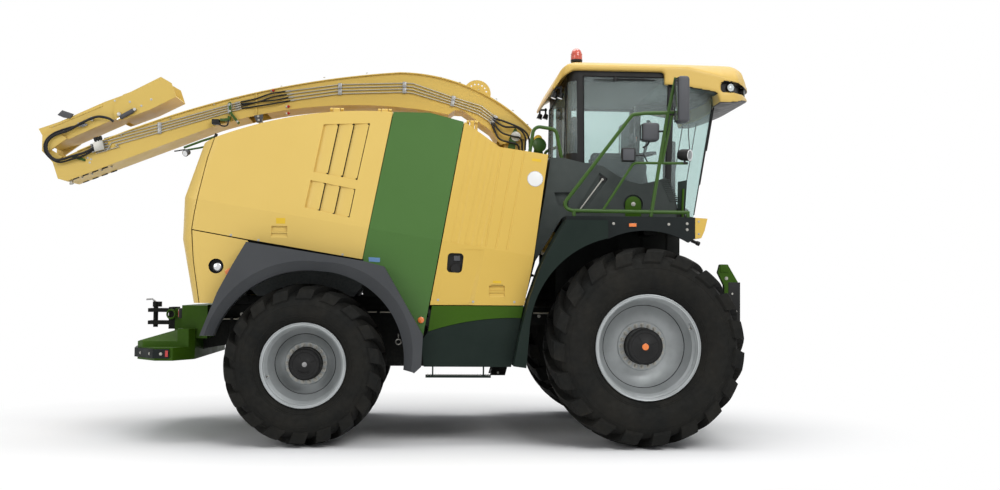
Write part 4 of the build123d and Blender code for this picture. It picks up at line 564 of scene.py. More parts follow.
def refine(points, pitch):
    """The same run of straight lines with points no further apart than pitch."""
    line = [points[0]]
    for a, b in zip(points, points[1:]):
        count = max(1, int(hypot(*(q - p for p, q in zip(a, b))) / pitch))
        line += [lerp(a, b, (i + 1) / count) for i in range(count)]
    return line


# Wheels: depth of the hub's face inside the rim's edge, reach of the hub cap beyond that face
HUB_DEPTH = 0.314
CAP_REACH = 0.171
# columns: name, axle X, axle Z, wheel Y, tyre width, tyre radius, lug height, rim radius,
# radii of the dish, hub ring and cap, number of nuts
WHEELS = (
    ("front", 2.420, 0.965, 1.250, 0.800, 0.965, 0.055, 0.508, 0.400, 0.232, 0.170, 20),
    ("rear", -0.848, 0.773, 1.135, 0.710, 0.773, 0.048, 0.406, 0.290, 0.200, 0.150, 18),
)


def arc_centre(a, b, c):
    """Centre and radius of the circle through three points."""
    d = 2 * (a[0] * (b[1] - c[1]) + b[0] * (c[1] - a[1]) + c[0] * (a[1] - b[1]))
    sa, sb, sc = (p[0] ** 2 + p[1] ** 2 for p in (a, b, c))
    x = (sa * (b[1] - c[1]) + sb * (c[1] - a[1]) + sc * (a[1] - b[1])) / d
    y = (sa * (c[0] - b[0]) + sb * (a[0] - c[0]) + sc * (b[0] - a[0])) / d
    return x, y, hypot(a[0] - x, a[1] - y)


for name, ax, az, wheel_y, width, tyre_r, lug_h, rim_r, dish_r, ring_r, cap_r, nuts in WHEELS:
    half = width / 2
    outer = wheel_y + half * 0.8
    crown = tyre_r - lug_h
    wall = arc_centre((half * 0.86, crown - 0.062), (half, (crown + rim_r) / 2 + 0.020),
                      (half * 0.8 - 0.014, rim_r + 0.008))
    for side_name, side in SIDES:
        body = f"{name}_wheel_{side_name}"
        out = (0, side, 0)

        def on_axis(y):
            return (ax, side * y, az)

        def about(radius, turn, y):
            return (ax + radius * cos(turn), side * y, az + radius * sin(turn))

        hub = outer - HUB_DEPTH
        cap_face = hub + CAP_REACH
        studs = Piece(f"wheel_nuts_{name}_{side_name}", body, ZINC)
        for turn in turns(nuts):
            at = about((ring_r + cap_r) / 2 + 0.003, turn, hub)
            studs.bolt(at, out, 0.0155, 0.020)
            studs.lathe(at, out, ((0.016, 0.0085), (0.034, 0.0085), (0.036, 0.007)), 10)
        studs.done()

        cap = Piece(f"hub_cap_{name}_{side_name}", body, BLACK, ORANGE, STEEL)
        cap.lathe(on_axis(hub + 0.001), out, (
            (0.0, cap_r + 0.012), (0.012, cap_r + 0.012), (0.016, cap_r + 0.004),
            (0.154, cap_r + 0.004), (CAP_REACH, cap_r - 0.012), (CAP_REACH, cap_r - 0.034),
            (CAP_REACH - 0.004, cap_r - 0.038), (CAP_REACH - 0.004, 0.062), (CAP_REACH, 0.056),
            (CAP_REACH + 0.003, 0.0)), 48)
        for turn in turns(12, 0.5):
            cap.bolt(about(cap_r - 0.022, turn, cap_face - 0.001), out, 0.0065, 0.008)
        for turn in (0.35, 2.2, 4.1):
            cap.tube([about(r, turn, cap_face - 0.002) for r in (0.06, cap_r - 0.045)], 0.0028, 6)
        if name == "front":
            cap.use(ORANGE).lathe(on_axis(cap_face + 0.003), out,
                                  ((0.0, 0.032), (0.005, 0.032), (0.008, 0.024), (0.009, 0.0)), 28)
        else:
            cap.tube([about(0.085, 3.9 + 0.16 * k, cap_face + 0.004) for k in range(10)], 0.004, 8)
            cap.use(STEEL).bolt(on_axis(cap_face + 0.002), out, 0.016, 0.010)
        cap.done()

        trim = Piece(f"rim_rings_{name}_{side_name}", body, SILVER, SEAL, ZINC)
        barrel_r = rim_r - 0.034
        trim.ring(on_axis(outer), out, rim_r - 0.007, 0.0065, 96)
        for inset in (0.020, 0.048, 0.078):
            trim.ring(on_axis(outer - inset), out, barrel_r - 0.001, 0.0045, 96)
        trim.ring(on_axis(hub - 0.008), out, ring_r + 0.002, 0.006, 72)
        # a dark ring at the dish's edge: painted shadow where the dish meets the barrel
        trim.use(SEAL).ring(on_axis(outer - 0.2335), out, dish_r + 0.001, 0.0045, 96)
        turn = 0.42 if name == "front" else 3.45
        # tyre valve: its base on the barrel, its stem leaning out
        stem = Vector(about(barrel_r - 0.002, turn, outer - 0.062))
        inward = (Vector(on_axis(outer - 0.062)) - stem).normalized()
        trim.use(ZINC).lathe(stem, inward, ((0.0, 0.011), (0.010, 0.011), (0.013, 0.007)), 12)
        trim.lathe(stem + inward * 0.010, inward * 0.55 + Vector(out),
                   ((0.0, 0.005), (0.045, 0.005), (0.047, 0.0065), (0.060, 0.0065)), 10)
        # guard plates on both sides of the valve
        trim.use(SILVER)
        for step in (-0.055, 0.055):
            corners = [about(barrel_r + rise, turn + step, outer - inset) for rise, inset in
                       ((0.004, 0.030), (0.004, 0.095), (-0.020, 0.090), (-0.020, 0.036))]
            way = Vector(about(1, turn + step + pi / 2, 0)) - Vector((ax, 0, az))
            trim.slab(corners, way * 0.006, 0.001)
        trim.done()

        bead = Piece(f"tyre_wall_rings_{name}_{side_name}", body,
                     RUBBER_FRONT if name == "front" else RUBBER_REAR)
        # on both walls, below the shoulder and near the rim
        for face in (-1, 1):
            for r, thick in ((rim_r + 0.016, 0.007), (rim_r + 0.048, 0.005), (rim_r + 0.062, 0.005),
                             (crown - 0.150, 0.006)):
                y = wall[0] + sqrt(max(wall[2] ** 2 - (r - wall[1]) ** 2, 0))
                bead.ring(on_axis(wheel_y + face * (y - 0.001)), out, r, thick, 96, 0.7)
        bead.done()

# Spout: pipes, hoses, clamps and fittings on the right-hand wall of the arm
PIPE_Y, PIPE_R = -0.2165, 0.0065
# columns: side-view points of the uppermost and of the lowest pipe of four
REAR_PIPES = (((-3.078, 3.048), (-2.509, 3.214), (-1.786, 3.432), (-1.687, 3.462)),
              ((-2.960, 2.985), (-2.507, 3.126), (-1.785, 3.356), (-1.669, 3.392)))
FRONT_PIPES = (((-1.205, 3.586), (-0.633, 3.672), (0.051, 3.702), (0.141, 3.700), (0.578, 3.558),
                (0.880, 3.470), (1.032, 3.352)),
               ((-1.150, 3.490), (-0.632, 3.574), (0.052, 3.606), (0.142, 3.596), (0.564, 3.478),
                (0.843, 3.386), (0.995, 3.290)))
pipes = Piece("spout_pipes", "spout", PIPE)
for pair in (REAR_PIPES, FRONT_PIPES):
    for k in range(4):
        pipes.tube(along_y([lerp(a, b, k / 3) for a, b in zip(*pair)], PIPE_Y), PIPE_R, 8)
for k, (x, z) in enumerate(((-2.945, 2.952), (-3.066, 2.912))):
    start = lerp(REAR_PIPES[0][0], REAR_PIPES[1][0], 1 - k / 3)
    pipes.tube(along_y((start, (x + 0.02, z + 0.012), (x - 0.09, z - 0.02)), PIPE_Y), PIPE_R, 8)
pipes.done()

clamps = Piece("spout_clamps", "spout", STEEL, BLACK, ZINC)
# columns: pipes and the number of the point they are clamped at
CLAMP_AT = ((REAR_PIPES, 1), (REAR_PIPES, 2), (FRONT_PIPES, 2), (FRONT_PIPES, 4), (FRONT_PIPES, 6),
            (FRONT_PIPES, 1))
for pair, at in CLAMP_AT:
    top, low = pair[0][at], pair[1][at]
    for share in (1 / 6, 5 / 6):
        mid = lerp(top, low, share)
        along = Vector((low[0] - top[0], 0, low[1] - top[1])).normalized()
        across = Vector((along.z, 0, -along.x))
        centre = Vector((mid[0], -0.205, mid[1]))
        corners = [centre + along * (0.030 * i) + across * (0.020 * j)
                   for i, j in ((-1, -1), (1, -1), (1, 1), (-1, 1))]
        clamps.use(STEEL).slab(corners, (0, -0.021, 0), 0.003)
        clamps.use(ZINC).bolt(centre + Vector((0, -0.021, 0)), (0, -1, 0), 0.007, 0.006)
clamps.done()

# Fittings where the pipes end, with red caps on the upper ones
fittings = Piece("spout_fittings", "spout", ZINC, RED_CAP)
FITTING = ((0, 0.0095), (0.018, 0.0095), (0.020, 0.0115), (0.040, 0.0115), (0.042, 0.0095), (0.062, 0.0095))
for k in range(4):
    for pair, at, sign in ((REAR_PIPES, -1, 1), (FRONT_PIPES, 0, -1), (FRONT_PIPES, -1, 1)):
        x, z = lerp(pair[0][at], pair[1][at], k / 3)
        nx, nz = lerp(pair[0][at - sign], pair[1][at - sign], k / 3)
        heading = Vector((x - nx, 0, z - nz)).normalized()
        base = Vector((x, PIPE_Y, z)) - heading * 0.055
        fittings.lathe(base, heading, FITTING, 6)
for x, z in ((-1.335, 3.592), (-1.172, 3.425), (-1.170, 3.352)):
    fittings.use(RED_CAP).lathe((x, -0.207, z), (0, -1, 0), (
        (0, 0.012), (0.020, 0.014), (0.026, 0.010)), 14)
    fittings.use(ZINC).box((x - 0.030, -0.212, z - 0.010), (x + 0.010, -0.203, z + 0.010), 0.002)
fittings.done()

hoses = Piece("spout_hoses", "spout", HOSE)
HOSE_ENDS = (((-1.672, 3.464), (-1.519, 3.498), (-1.353, 3.556), (-1.200, 3.588)),
             ((-1.670, 3.442), (-1.500, 3.462), (-1.340, 3.520), (-1.185, 3.556)),
             ((-1.668, 3.418), (-1.470, 3.470), (-1.320, 3.486), (-1.168, 3.524)),
             ((-1.667, 3.394), (-1.435, 3.430), (-1.269, 3.462), (-1.150, 3.490)))
for k, run in enumerate(HOSE_ENDS):
    lift = (PIPE_Y, -0.228 - 0.006 * (k % 2), -0.234, PIPE_Y)
    hoses.hose([(x, y, z) for (x, z), y in zip(run, lift)], 0.0085, 8)
hoses.done()

# Bolts, ribs and brackets of the arm
arm_bolts = Piece("spout_flange_bolts", "spout", ZINC)
FLANGE_BOLTS = ((-2.900, 3.090), (-2.400, 3.279), (-1.950, 3.434), (-1.700, 3.514), (-1.250, 3.645),
                (-0.800, 3.747), (-0.350, 3.805), (0.085, 3.812), (0.227, 3.803), (0.440, 3.772),
                (0.644, 3.722), (0.845, 3.646), (1.038, 3.551), (1.216, 3.430), (1.376, 3.281))
for x, z in FLANGE_BOLTS:
    sink, lean = (0.005, -0.1) if x < 0 else (0.0, 0.35)
    for side in (-1, 1):
        arm_bolts.bolt((x, side * 0.218, z - sink), (lean, 0, 1), 0.0075, 0.007)
arm_bolts.done()

bracket = Piece("spout_brackets", "spout", GREEN_TUBE, BLACK, GREY, ZINC)
bracket.plate(((-1.800, 3.452), (-1.772, 3.458), (-1.764, 3.352), (-1.672, 3.236), (-1.694, 3.222),
               (-1.790, 3.342)), -0.244, 0.020)
bracket.plate(((-1.796, 3.306), (-1.770, 3.300), (-1.780, 3.252), (-1.880, 3.252), (-1.880, 3.276),
               (-1.800, 3.282)), -0.262, 0.056)
bracket.use(BLACK).box((-1.960, -0.285, 3.214), (-1.885, -0.190, 3.268), 0.008)
bracket.hose(((-1.900, -0.27, 3.250), (-1.860, -0.28, 3.200), (-1.800, -0.27, 3.206),
              (-1.790, -0.25, 3.290)), 0.008)
bracket.use(GREY).plate(((-1.530, 3.318), (-1.436, 3.336), (-1.446, 3.250), (-1.500, 3.246)), -0.235,
                        0.030)
bracket.use(GREEN_TUBE).plate(((-3.415, 2.845), (-3.268, 2.806), (-3.262, 2.824), (-3.330, 2.860)),
                              -0.226, 0.021)
bracket.use(ZINC)
bracket.side_bolts(-1, ((-1.786, 3.43), (-1.780, 3.36), (-1.700, 3.25), (-1.484, 3.31), (-1.478, 3.27)),
                   0.244, 0.008, 0.007)
bracket.side_bolts(-1, ((-3.245, 2.845), (-3.210, 2.830), (-3.222, 2.795)), 0.205, 0.008, 0.007)
for y in (-0.17, 0.17):
    for k in range(4):
        start, stop = (lerp((-3.400, 2.622), (-3.010, 2.774), (k + reach) / 4) for reach in (0.0, 0.62))
        bracket.use(BLACK).tube(along_y((start, stop), y), 0.010, 8)
for k in range(5):
    x = -3.42 + 0.1 * k
    bracket.use(ZINC).bolt((x, -0.12, 2.612 + 0.039 * k), (0.34, 0, -0.94), 0.009, 0.012)
bracket.lathe((-3.430, -0.14, 2.604), (0.3, 0, -1), (
    (0, 0.016), (0.020, 0.016), (0.022, 0.024), (0.034, 0.022), (0.038, 0.012)), 16)
bracket.done()

# Valve block near the end of the arm
valve = Piece("spout_valve_block", "spout", ZINC, STEEL, BLACK)
valve.slab(((-3.180, -0.206, 2.998), (-3.082, -0.206, 3.026), (-3.058, -0.206, 2.930),
            (-3.156, -0.206, 2.902)), (0, -0.062, 0), 0.004)
for k in range(4):
    x, z = lerp((-3.165, 2.985), (-3.148, 2.915), k / 3)
    valve.use(STEEL).lathe((x, -0.238, z), (-1, 0, -0.28), (
        (0, 0.010), (0.024, 0.010), (0.026, 0.012), (0.044, 0.012)), 6)
for k in range(3):
    x, z = lerp((-3.152, 3.002), (-3.096, 3.018), k / 2)
    valve.use(BLACK).lathe((x, -0.238, z), (-0.28, 0, 1), (
        (0, 0.011), (0.016, 0.011), (0.018, 0.015), (0.052, 0.015), (0.056, 0.010)), 14)
for k in range(4):
    x, z = lerp((-3.094, 3.016), (-3.066, 2.936), k / 3)
    valve.use(STEEL).lathe((x, -0.218, z), (1, 0, 0.28), (
        (0, 0.009), (0.020, 0.009), (0.022, 0.007), (0.05, 0.007)), 8)
valve.done()

# Hoses round the folding joint, from the valve block to the cylinder of the end flap
# columns: points along the hose, radius
FOLD_HOSES = (
    (((-3.150, -0.238, 2.962), (-3.250, -0.262, 2.898), (-3.375, -0.272, 2.853),
      (-3.536, -0.275, 2.809), (-3.626, -0.276, 2.882), (-3.640, -0.276, 2.981),
      (-3.574, -0.276, 3.060), (-3.414, -0.270, 3.128), (-3.290, -0.262, 3.206),
      (-3.146, -0.256, 3.270), (-3.032, -0.252, 3.258), (-2.975, -0.250, 3.226)), 0.0135),
    (((-3.155, -0.238, 2.935), (-3.260, -0.250, 2.868), (-3.380, -0.250, 2.826),
      (-3.530, -0.250, 2.790), (-3.650, -0.252, 2.872), (-3.668, -0.252, 2.985),
      (-3.590, -0.252, 3.082), (-3.430, -0.250, 3.150), (-3.330, -0.238, 3.178)), 0.0105),
)
for k, (run, radius) in enumerate(FOLD_HOSES):
    loop = Piece(f"fold_hose_{k + 1}", None, HOSE)
    loop.hose(run, radius, 10, 8)
    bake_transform(loop.done())

# Extension: grey bracket, hose clips, seam and bolts; end flap: cylinder and bolts
ext = Piece("extension_fittings", "extension", GREY, ZINC, STEEL, BEIGE_SPOUT, BLACK)
ext.plate(((-3.556, 3.286), (-3.508, 3.337), (-3.393, 3.300), (-3.425, 3.252), (-3.500, 3.262)), -0.232,
          0.026)
for x, z in ((-3.480, 3.120), (-3.330, 3.185), (-3.200, 3.250)):
    ext.use(ZINC).box((x - 0.012, -0.252, z - 0.022), (x + 0.012, -0.204, z + 0.022), 0.003)
for k in range(3):
    x, z = lerp((-3.340, 3.180), (-3.300, 3.190), k / 2)
    ext.use(STEEL).lathe((x, -0.238, z - 0.012 * k), (0.9, 0, 0.42), (
        (0, 0.009), (0.03, 0.009), (0.032, 0.012), (0.060, 0.012)), 8)
ext.use(BEIGE_SPOUT)
ext.slab(((-3.640, -0.205, 3.168), (-3.630, -0.205, 3.150), (-3.100, -0.205, 3.390),
          (-3.110, -0.205, 3.408)), (0, -0.008, 0), 0.002)
ext.use(ZINC)
for side in (-1, 1):
    ext.side_bolts(side, ((-3.600, 3.170), (-3.250, 3.330), (-3.120, 3.390), (-2.980, 3.452)), 0.205, 0.007,
                   0.006)
ext.done()

tip = Piece("end_flap_cylinder", "end_flap", GREY, CHROME, ZINC)
tip.lathe((-2.905, -0.247, 3.268), Vector((-2.765, 0, 3.352)) - Vector((-2.905, 0, 3.268)),
          ((-0.006, 0.014), (0.0, 0.020), (0.008, 0.024), (0.150, 0.024), (0.158, 0.016), (0.165, 0.0)),
          20)
tip.use(CHROME).tube(((-2.940, -0.247, 3.247), (-2.900, -0.247, 3.271)), 0.009, 10)
tip.use(ZINC).lathe((-2.760, -0.220, 3.356), (0, -1, 0), ((0, 0.016), (0.046, 0.016)), 14)
tip.lathe((-2.925, -0.232, 3.306), (0, -1, 0), ((0, 0.020), (0.008, 0.020), (0.010, 0.010)), 18)
for side in (-1, 1):
    tip.side_bolts(side, ((-2.700, 3.400), (-2.600, 3.470), (-2.820, 3.440)), 0.223, 0.008, 0.007)
tip.done()

# Spout foot: hose bundle, toothed ring, slewing drive and lift pins
foot = Piece("turret_fittings", "turret", ZINC, GREEN_TUBE, YELLOW, BLACK)
TURRET_X = 1.330
TEETH = 48
for a in turns(TEETH):
    u, v = Vector((cos(a), sin(a), 0)), Vector((-sin(a), cos(a), 0))
    at = Vector((TURRET_X, 0, 2.9085)) + u * 0.283
    foot.slab([at + v * 0.010, at - v * 0.010, at + u * 0.020 - v * 0.005, at + u * 0.020 + v * 0.005],
              (0, 0, 0.034), 0)
for a in turns(16, 0.5):
    foot.bolt((TURRET_X + 0.262 * cos(a), 0.262 * sin(a), 2.956), (0, 0, 1), 0.010, 0.010)
foot.use(GREEN_TUBE).lathe((1.500, -0.215, 3.060), (0.25, -1, 0.1), (
    (0.0, 0.030), (0.012, 0.072), (0.018, 0.078), (0.026, 0.078), (0.030, 0.070), (0.034, 0.024)), 28)
foot.plate(((1.440, 2.958), (1.552, 2.958), (1.520, 3.090), (1.466, 3.120)), -0.214, 0.014)
foot.plate(((1.160, 2.958), (1.240, 2.958), (1.262, 3.225), (1.238, 3.242), (1.180, 3.130)), -0.232,
           0.010)
foot.use(YELLOW).lathe((1.478, -0.130, 3.120), (0.25, -1, 0.1), (
    (0, 0.040), (0.06, 0.040), (0.064, 0.048), (0.078, 0.048), (0.082, 0.036)), 24)
foot.use(ZINC)
for y in (-0.222, 0.222):
    foot.lathe((1.250, y, 3.150), (0, y, 0), ((0.0, 0.052), (0.010, 0.052), (0.012, 0.030), (0.02, 0.028)),
               24)
foot.done()

# columns: points along the hose, radius
FOOT_HOSES = (
    (((1.002, -0.217, 3.348), (1.163, -0.262, 3.290), (1.314, -0.270, 3.222), (1.385, -0.255, 3.140),
      (1.400, -0.235, 3.000)), 0.011),
    (((0.998, -0.217, 3.330), (1.120, -0.255, 3.250), (1.260, -0.262, 3.238), (1.345, -0.262, 3.150),
      (1.350, -0.240, 3.000)), 0.010),
    (((0.990, -0.217, 3.312), (1.090, -0.248, 3.190), (1.200, -0.258, 3.150), (1.300, -0.262, 3.120),
      (1.320, -0.240, 2.995)), 0.010),
    (((0.985, -0.217, 3.296), (1.060, -0.245, 3.130), (1.160, -0.255, 3.085), (1.262, -0.258, 3.060),
      (1.290, -0.240, 2.990)), 0.011),
)
for k, (run, radius) in enumerate(FOOT_HOSES):
    loop = Piece(f"foot_hose_{k + 1}", None, HOSE)
    loop.hose(run, radius, 10, 8)
    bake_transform(loop.done())

# Cab: beacon, lamps and mirrors stand for the plain ones
lamp_set = Piece("lamp_set", ROOT, BLACK, BEACON, RED, CHROME, LAMP_GLASS, ZINC, GREEN_LOW, ORANGE)
BEACON_AT = (1.892, -0.300)


def at_beacon(z):
    return (*BEACON_AT, z)


lamp_set.lathe(at_beacon(3.868), (0, 0, 1), (
    (0, 0.030), (0.012, 0.046), (0.052, 0.046), (0.060, 0.034), (0.080, 0.034), (0.086, 0.062),
    (0.108, 0.064)), 28)
lamp_set.use(BEACON).lathe(at_beacon(3.972), (0, 0, 1), (
    (0, 0.060), (0.006, 0.0625), (0.050, 0.0615), (0.080, 0.057), (0.105, 0.047), (0.122, 0.030),
    (0.130, 0.012), (0.131, 0.0)), 32)
for z in (3.988, 4.004, 4.020, 4.036):
    lamp_set.ring(at_beacon(z), (0, 0, 1), 0.0615, 0.0022, 40)
lamp_set.use(ZINC).tube((at_beacon(3.85), at_beacon(3.878)), 0.020, 12)
for side in (-1, 1):
    lamp_set.use(BLACK)
    # rear lamps below the roof, on one bar
    for x in (1.606, 1.674):
        centre = (x, side * 0.700, 3.516)
        down = (-0.32, 0, -0.95)
        lamp_set.lathe(centre, down, ((-0.034, 0.014), (-0.026, 0.026), (0.016, 0.031), (0.030, 0.031)), 20)
        lamp_set.use(CHROME).lathe(centre, down, ((0.028, 0.029), (0.031, 0.027), (0.030, 0.0)), 20)
        lamp_set.use(BLACK).side_box(side, (x - 0.010, 0.690, 3.540), (x + 0.010, 0.710, 3.616), 0.003)
    lamp_set.side_box(side, (1.580, 0.688, 3.585), (1.690, 0.712, 3.606), 0.003)
    # tail lamps on the carrier
    lamp_set.side_box(side, (-2.155, 0.570, 1.190), (-2.122, 0.750, 1.290), 0.006)
    for lens_look, y0, y1 in ((RED, 0.580, 0.630), (ORANGE, 0.634, 0.686), (RED, 0.690, 0.740)):
        lamp_set.use(lens_look).side_box(side, (-2.162, y0, 1.200), (-2.150, y1, 1.280), 0.005)
# work lamp on the rail's upright
WORK = Vector((2.806, -1.420, 2.830))
WORK_WAY = (0.75, -0.65, -0.1)
lamp_set.use(BLACK).lathe(WORK, WORK_WAY, (
    (-0.075, 0.020), (-0.066, 0.044), (-0.030, 0.056), (0.042, 0.058), (0.050, 0.055)), 28)
lamp_set.use(CHROME).lathe(WORK, WORK_WAY, (
    (0.046, 0.053), (0.054, 0.054), (0.056, 0.049), (0.040, 0.030), (0.036, 0.0)), 28)
lamp_set.use(LAMP_GLASS).lathe(WORK, WORK_WAY, ((0.054, 0.049), (0.060, 0.030), (0.062, 0.0)), 28)
lamp_set.use(BLACK).tube(((2.800, -1.420, 2.776), (2.806, -1.420, 2.750)), 0.010, 8)
lamp_set.box((2.785, -1.436, 2.742), (2.832, -1.404, 2.760), 0.003)
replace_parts(lamp_set.done(), "lamps")

# Cab roof: the solid's own shell with softened edges, its brow drawn down over the lamps
# half of the roof's plan ahead of the doors: straight side, two cut corners, bowed front
ROOF_PLAN = ((3.330, 0.935), (3.497, 0.880), (3.600, 0.740))
ROOF_BOW = 0.180


def roof_edge_distance(x, y):
    """Distance in plan from the roof's outline, near enough ahead of the doors."""
    across = abs(y)
    if x < ROOF_PLAN[0][0]:
        return ROOF_PLAN[0][1] - across
    for (x0, y0), (x1, y1) in zip(ROOF_PLAN, ROOF_PLAN[1:]):
        if x < x1:
            return y0 + (y1 - y0) * (x - x0) / (x1 - x0) - across
    front_x, front_y = ROOF_PLAN[-1]
    return front_x + ROOF_BOW * (1 - (across / front_y) ** 2) - x


plain_roof = nodes["cab_roof"]
roof_mesh = plain_roof.data.copy()
roof_mesh.transform(plain_roof.matrix_world)
roof_shell = bpy.data.objects.new("roof_shell", roof_mesh)
scene.collection.objects.link(roof_shell)
apply_modifier(roof_shell, "REMESH", mode="VOXEL", voxel_size=0.014)
apply_modifier(roof_shell, "SMOOTH", factor=0.5, iterations=9)
# the fall grows from FALL_FROM_X forward over FALL_LENGTH, and outward over FALL_REACH
FALL_FROM_X, FALL_LENGTH, FALL_REACH = 2.950, 0.620, 0.500
BROW_FALL, BROW_LOW_Z = 0.185, 3.662
for vert in roof_shell.data.vertices:
    x, y, z = vert.co
    share = min(max((x - FALL_FROM_X) / FALL_LENGTH, 0.0), 1.0)
    gap = min(max(roof_edge_distance(x, y), 0.0) / FALL_REACH, 1.0)
    if z > BROW_LOW_Z and share > 0:
        fall = BROW_FALL * share * (1 - sqrt(1 - (1 - gap) ** 2))
        vert.co.z -= fall * min((z - BROW_LOW_Z) / 0.15, 1.0)
apply_modifier(roof_shell, "DECIMATE", ratio=0.45)
roof_shell.data.materials.clear()
roof_shell.data.materials.append(BEIGE_ROOF)
roof_shell.data.materials.append(BLACK)
for face in roof_shell.data.polygons:
    face.material_index = 1 if face.normal.z < -0.6 and face.center.x > 2.75 else 0
roof_shell.data.shade_smooth()
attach(roof_shell, ROOT)
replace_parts(roof_shell, "cab_roof")

# Work lamps in the nose of the roof
# columns: X and Y of the lamp's seat, direction it faces in degrees from straight ahead
ROOF_LAMPS = ((3.712, 0.130, 2), (3.700, -0.130, -2), (3.668, 0.390, 10), (3.668, -0.390, -10),
              (3.592, 0.640, 20), (3.592, -0.640, -20), (3.400, 0.870, 75), (3.400, -0.870, -75))
roof_lights = Piece("roof_lamp_faces", ROOT, CHROME, LAMP_GLASS, BLACK)
for x, y, turn in ROOF_LAMPS:
    facing = Vector((cos(radians(turn)), sin(radians(turn)), 0))
    at = Vector((x, y, 3.600)) + facing * 0.030
    roof_lights.use(BLACK).ring(at, facing, 0.0405, 0.0035, 28)
    roof_lights.use(CHROME).lathe(at, facing, (
        (0.0005, 0.038), (0.003, 0.038), (0.0015, 0.014), (0.004, 0.010), (0.005, 0.0)), 24)
    roof_lights.use(LAMP_GLASS).lathe(at, facing, ((0.003, 0.039), (0.006, 0.030), (0.007, 0.0)), 24)
roof_lights.done()


def rounded_case(piece, low, high, corner, bulge):
    """A mirror case: rounded corners, its back crowned."""
    bm, centre, size = rounded_block(low, high, corner)
    for vert in bm.verts:
        if vert.co.x > centre.x:
            share = (vert.co.z - centre.z) / size.z
            vert.co.x += bulge * (1 - 4 * share * share)
    piece.merge(bm)


mirrors = Piece("mirror_set", ROOT, GREY, MIRROR, BLACK, GREEN_TUBE)
for low, high in (((2.694, -1.616, 3.124), (2.806, -1.444, 3.572)),
                  ((2.394, -1.396, 2.968), (2.560, -1.254, 3.148)),
                  ((2.704, 1.444, 3.124), (2.812, 1.616, 3.572))):
    rounded_case(mirrors.use(GREY), low, high, 0.030, 0.006)
    inset = 0.018
    y0, y1 = low[1] + inset, high[1] - inset
    z0, z1 = low[2] + inset, high[2] - inset
    rim = [(low[0] - 0.001, y, z) for y, z in ((y0, z0), (y1, z0), (y1, z1), (y0, z1))]
    mirrors.use(MIRROR).slab(rim, (0.006, 0, 0), 0.002)
    mirrors.use(BLACK).tube(refine(rim + rim[:1], 0.2), 0.004, 6)
mirrors.use(BLACK)
# arms from the cases to the rails, with their radius
for radius, *points in (
        (0.010, (2.740, -1.450, 3.440), (2.700, -1.430, 3.440), (2.680, -1.424, 3.440)),
        (0.010, (2.730, -1.450, 3.220), (2.700, -1.430, 3.220), (2.640, -1.424, 3.224)),
        (0.010, (2.545, -1.380, 3.060), (2.580, -1.400, 3.060), (2.603, -1.420, 3.060)),
        (0.010, (2.760, 1.450, 3.400), (2.800, 1.430, 3.400), (2.838, 1.425, 3.400)),
        (0.010, (2.760, 1.450, 3.260), (2.800, 1.430, 3.260), (2.838, 1.425, 3.260)),
        (0.009, (2.470, -1.330, 2.970), (2.450, -1.350, 2.930), (2.400, -1.385, 2.900)),
        (0.007, (2.320, -1.400, 2.820), (2.404, -1.412, 2.822), (2.440, -1.414, 2.748))):
    mirrors.tube(points, radius)
rounded_case(mirrors, (2.176, -1.448, 2.752), (2.316, -1.400, 2.890), 0.018, 0.0)
mirrors.use(GREY).slab(((2.192, -1.4505, 2.768), (2.300, -1.4505, 2.768), (2.300, -1.4505, 2.874),
                        (2.192, -1.4505, 2.874)), (0, 0.004, 0), 0.001)
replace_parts(mirrors.done(), "mirrors")

# Wipers
wipers = Piece("wipers", ROOT, BLACK, STEEL)
wipers.tube(((1.992, -0.889, 3.652), (2.624, -0.889, 3.660)), 0.006, 8)
wipers.tube(((2.205, -0.893, 3.662), (2.420, -0.893, 3.666), (2.560, -0.891, 3.662)), 0.009, 8)
wipers.lathe((2.209, -0.882, 3.662), (0, -1, 0), ((0, 0.022), (0.016, 0.022), (0.020, 0.014)), 16)
PANE_EDGE_X, PANE_EDGE_Y = 3.075, 0.640
PANE_SAG = 0.089
PANE_LOW_Z, PANE_LEAN = 2.219, 0.256 / 1.526
WIPER_Z = 3.500


def screen_x(y, z):
    """X of the windscreen's outer face: an arc in plan that moves forward with height."""
    shift = PANE_LEAN * (z - PANE_LOW_Z)
    return PANE_EDGE_X + shift + PANE_SAG * (1 - (y / PANE_EDGE_Y) ** 2)


for foot_y, blade_y in ((-0.560, -0.610), (0.560, 0.300)):
    arm = [(foot_y, WIPER_Z), (foot_y + 0.25 * (blade_y - foot_y), 3.300), (blade_y, 2.980)]
    wipers.use(BLACK).tube([(screen_x(y, z) + 0.020, y, z) for y, z in arm], 0.007, 8)
    blade = [(blade_y, 3.420 - 0.08 * k) for k in range(11)]
    wipers.tube([(screen_x(y, z) + 0.010, y, z) for y, z in blade], 0.006, 8)
    wipers.lathe((screen_x(foot_y, WIPER_Z) - 0.002, foot_y, WIPER_Z), (1, 0, 0.1),
                 ((0, 0.030), (0.024, 0.030), (0.030, 0.018)), 18)
wipers.done()

joint_seals = Piece("windscreen_joint_seals", ROOT, SEAL)
for side in (-1, 1):
    joint_seals.tube([(screen_x(PANE_EDGE_Y, z) + 0.001, side * (PANE_EDGE_Y + 0.003), z)
                      for z in (2.300, 2.700, 3.100, 3.520)], 0.006, 8)
joint_seals.done()

# Seals round the panes, door handle
seals = Piece("window_seals", ROOT, SEAL, GREY, ZINC)
RIGHT_PANE = ((1.895, 2.600), (2.727, 2.300), (2.762, 3.690), (1.883, 3.690))
seals.tube(along_y(RIGHT_PANE + RIGHT_PANE[:1], -0.881), 0.006, 6)
for side in (-1, 1):
    seals.tube(((1.712, side * 0.740, 2.900), (1.722, side * 0.740, 3.600)), 0.006, 6)
for x, z in ((1.712, 2.900), (1.720, 3.600)):
    seals.tube(((x, -0.740, z), (x, 0.740, z)), 0.006, 6)
seals.done()

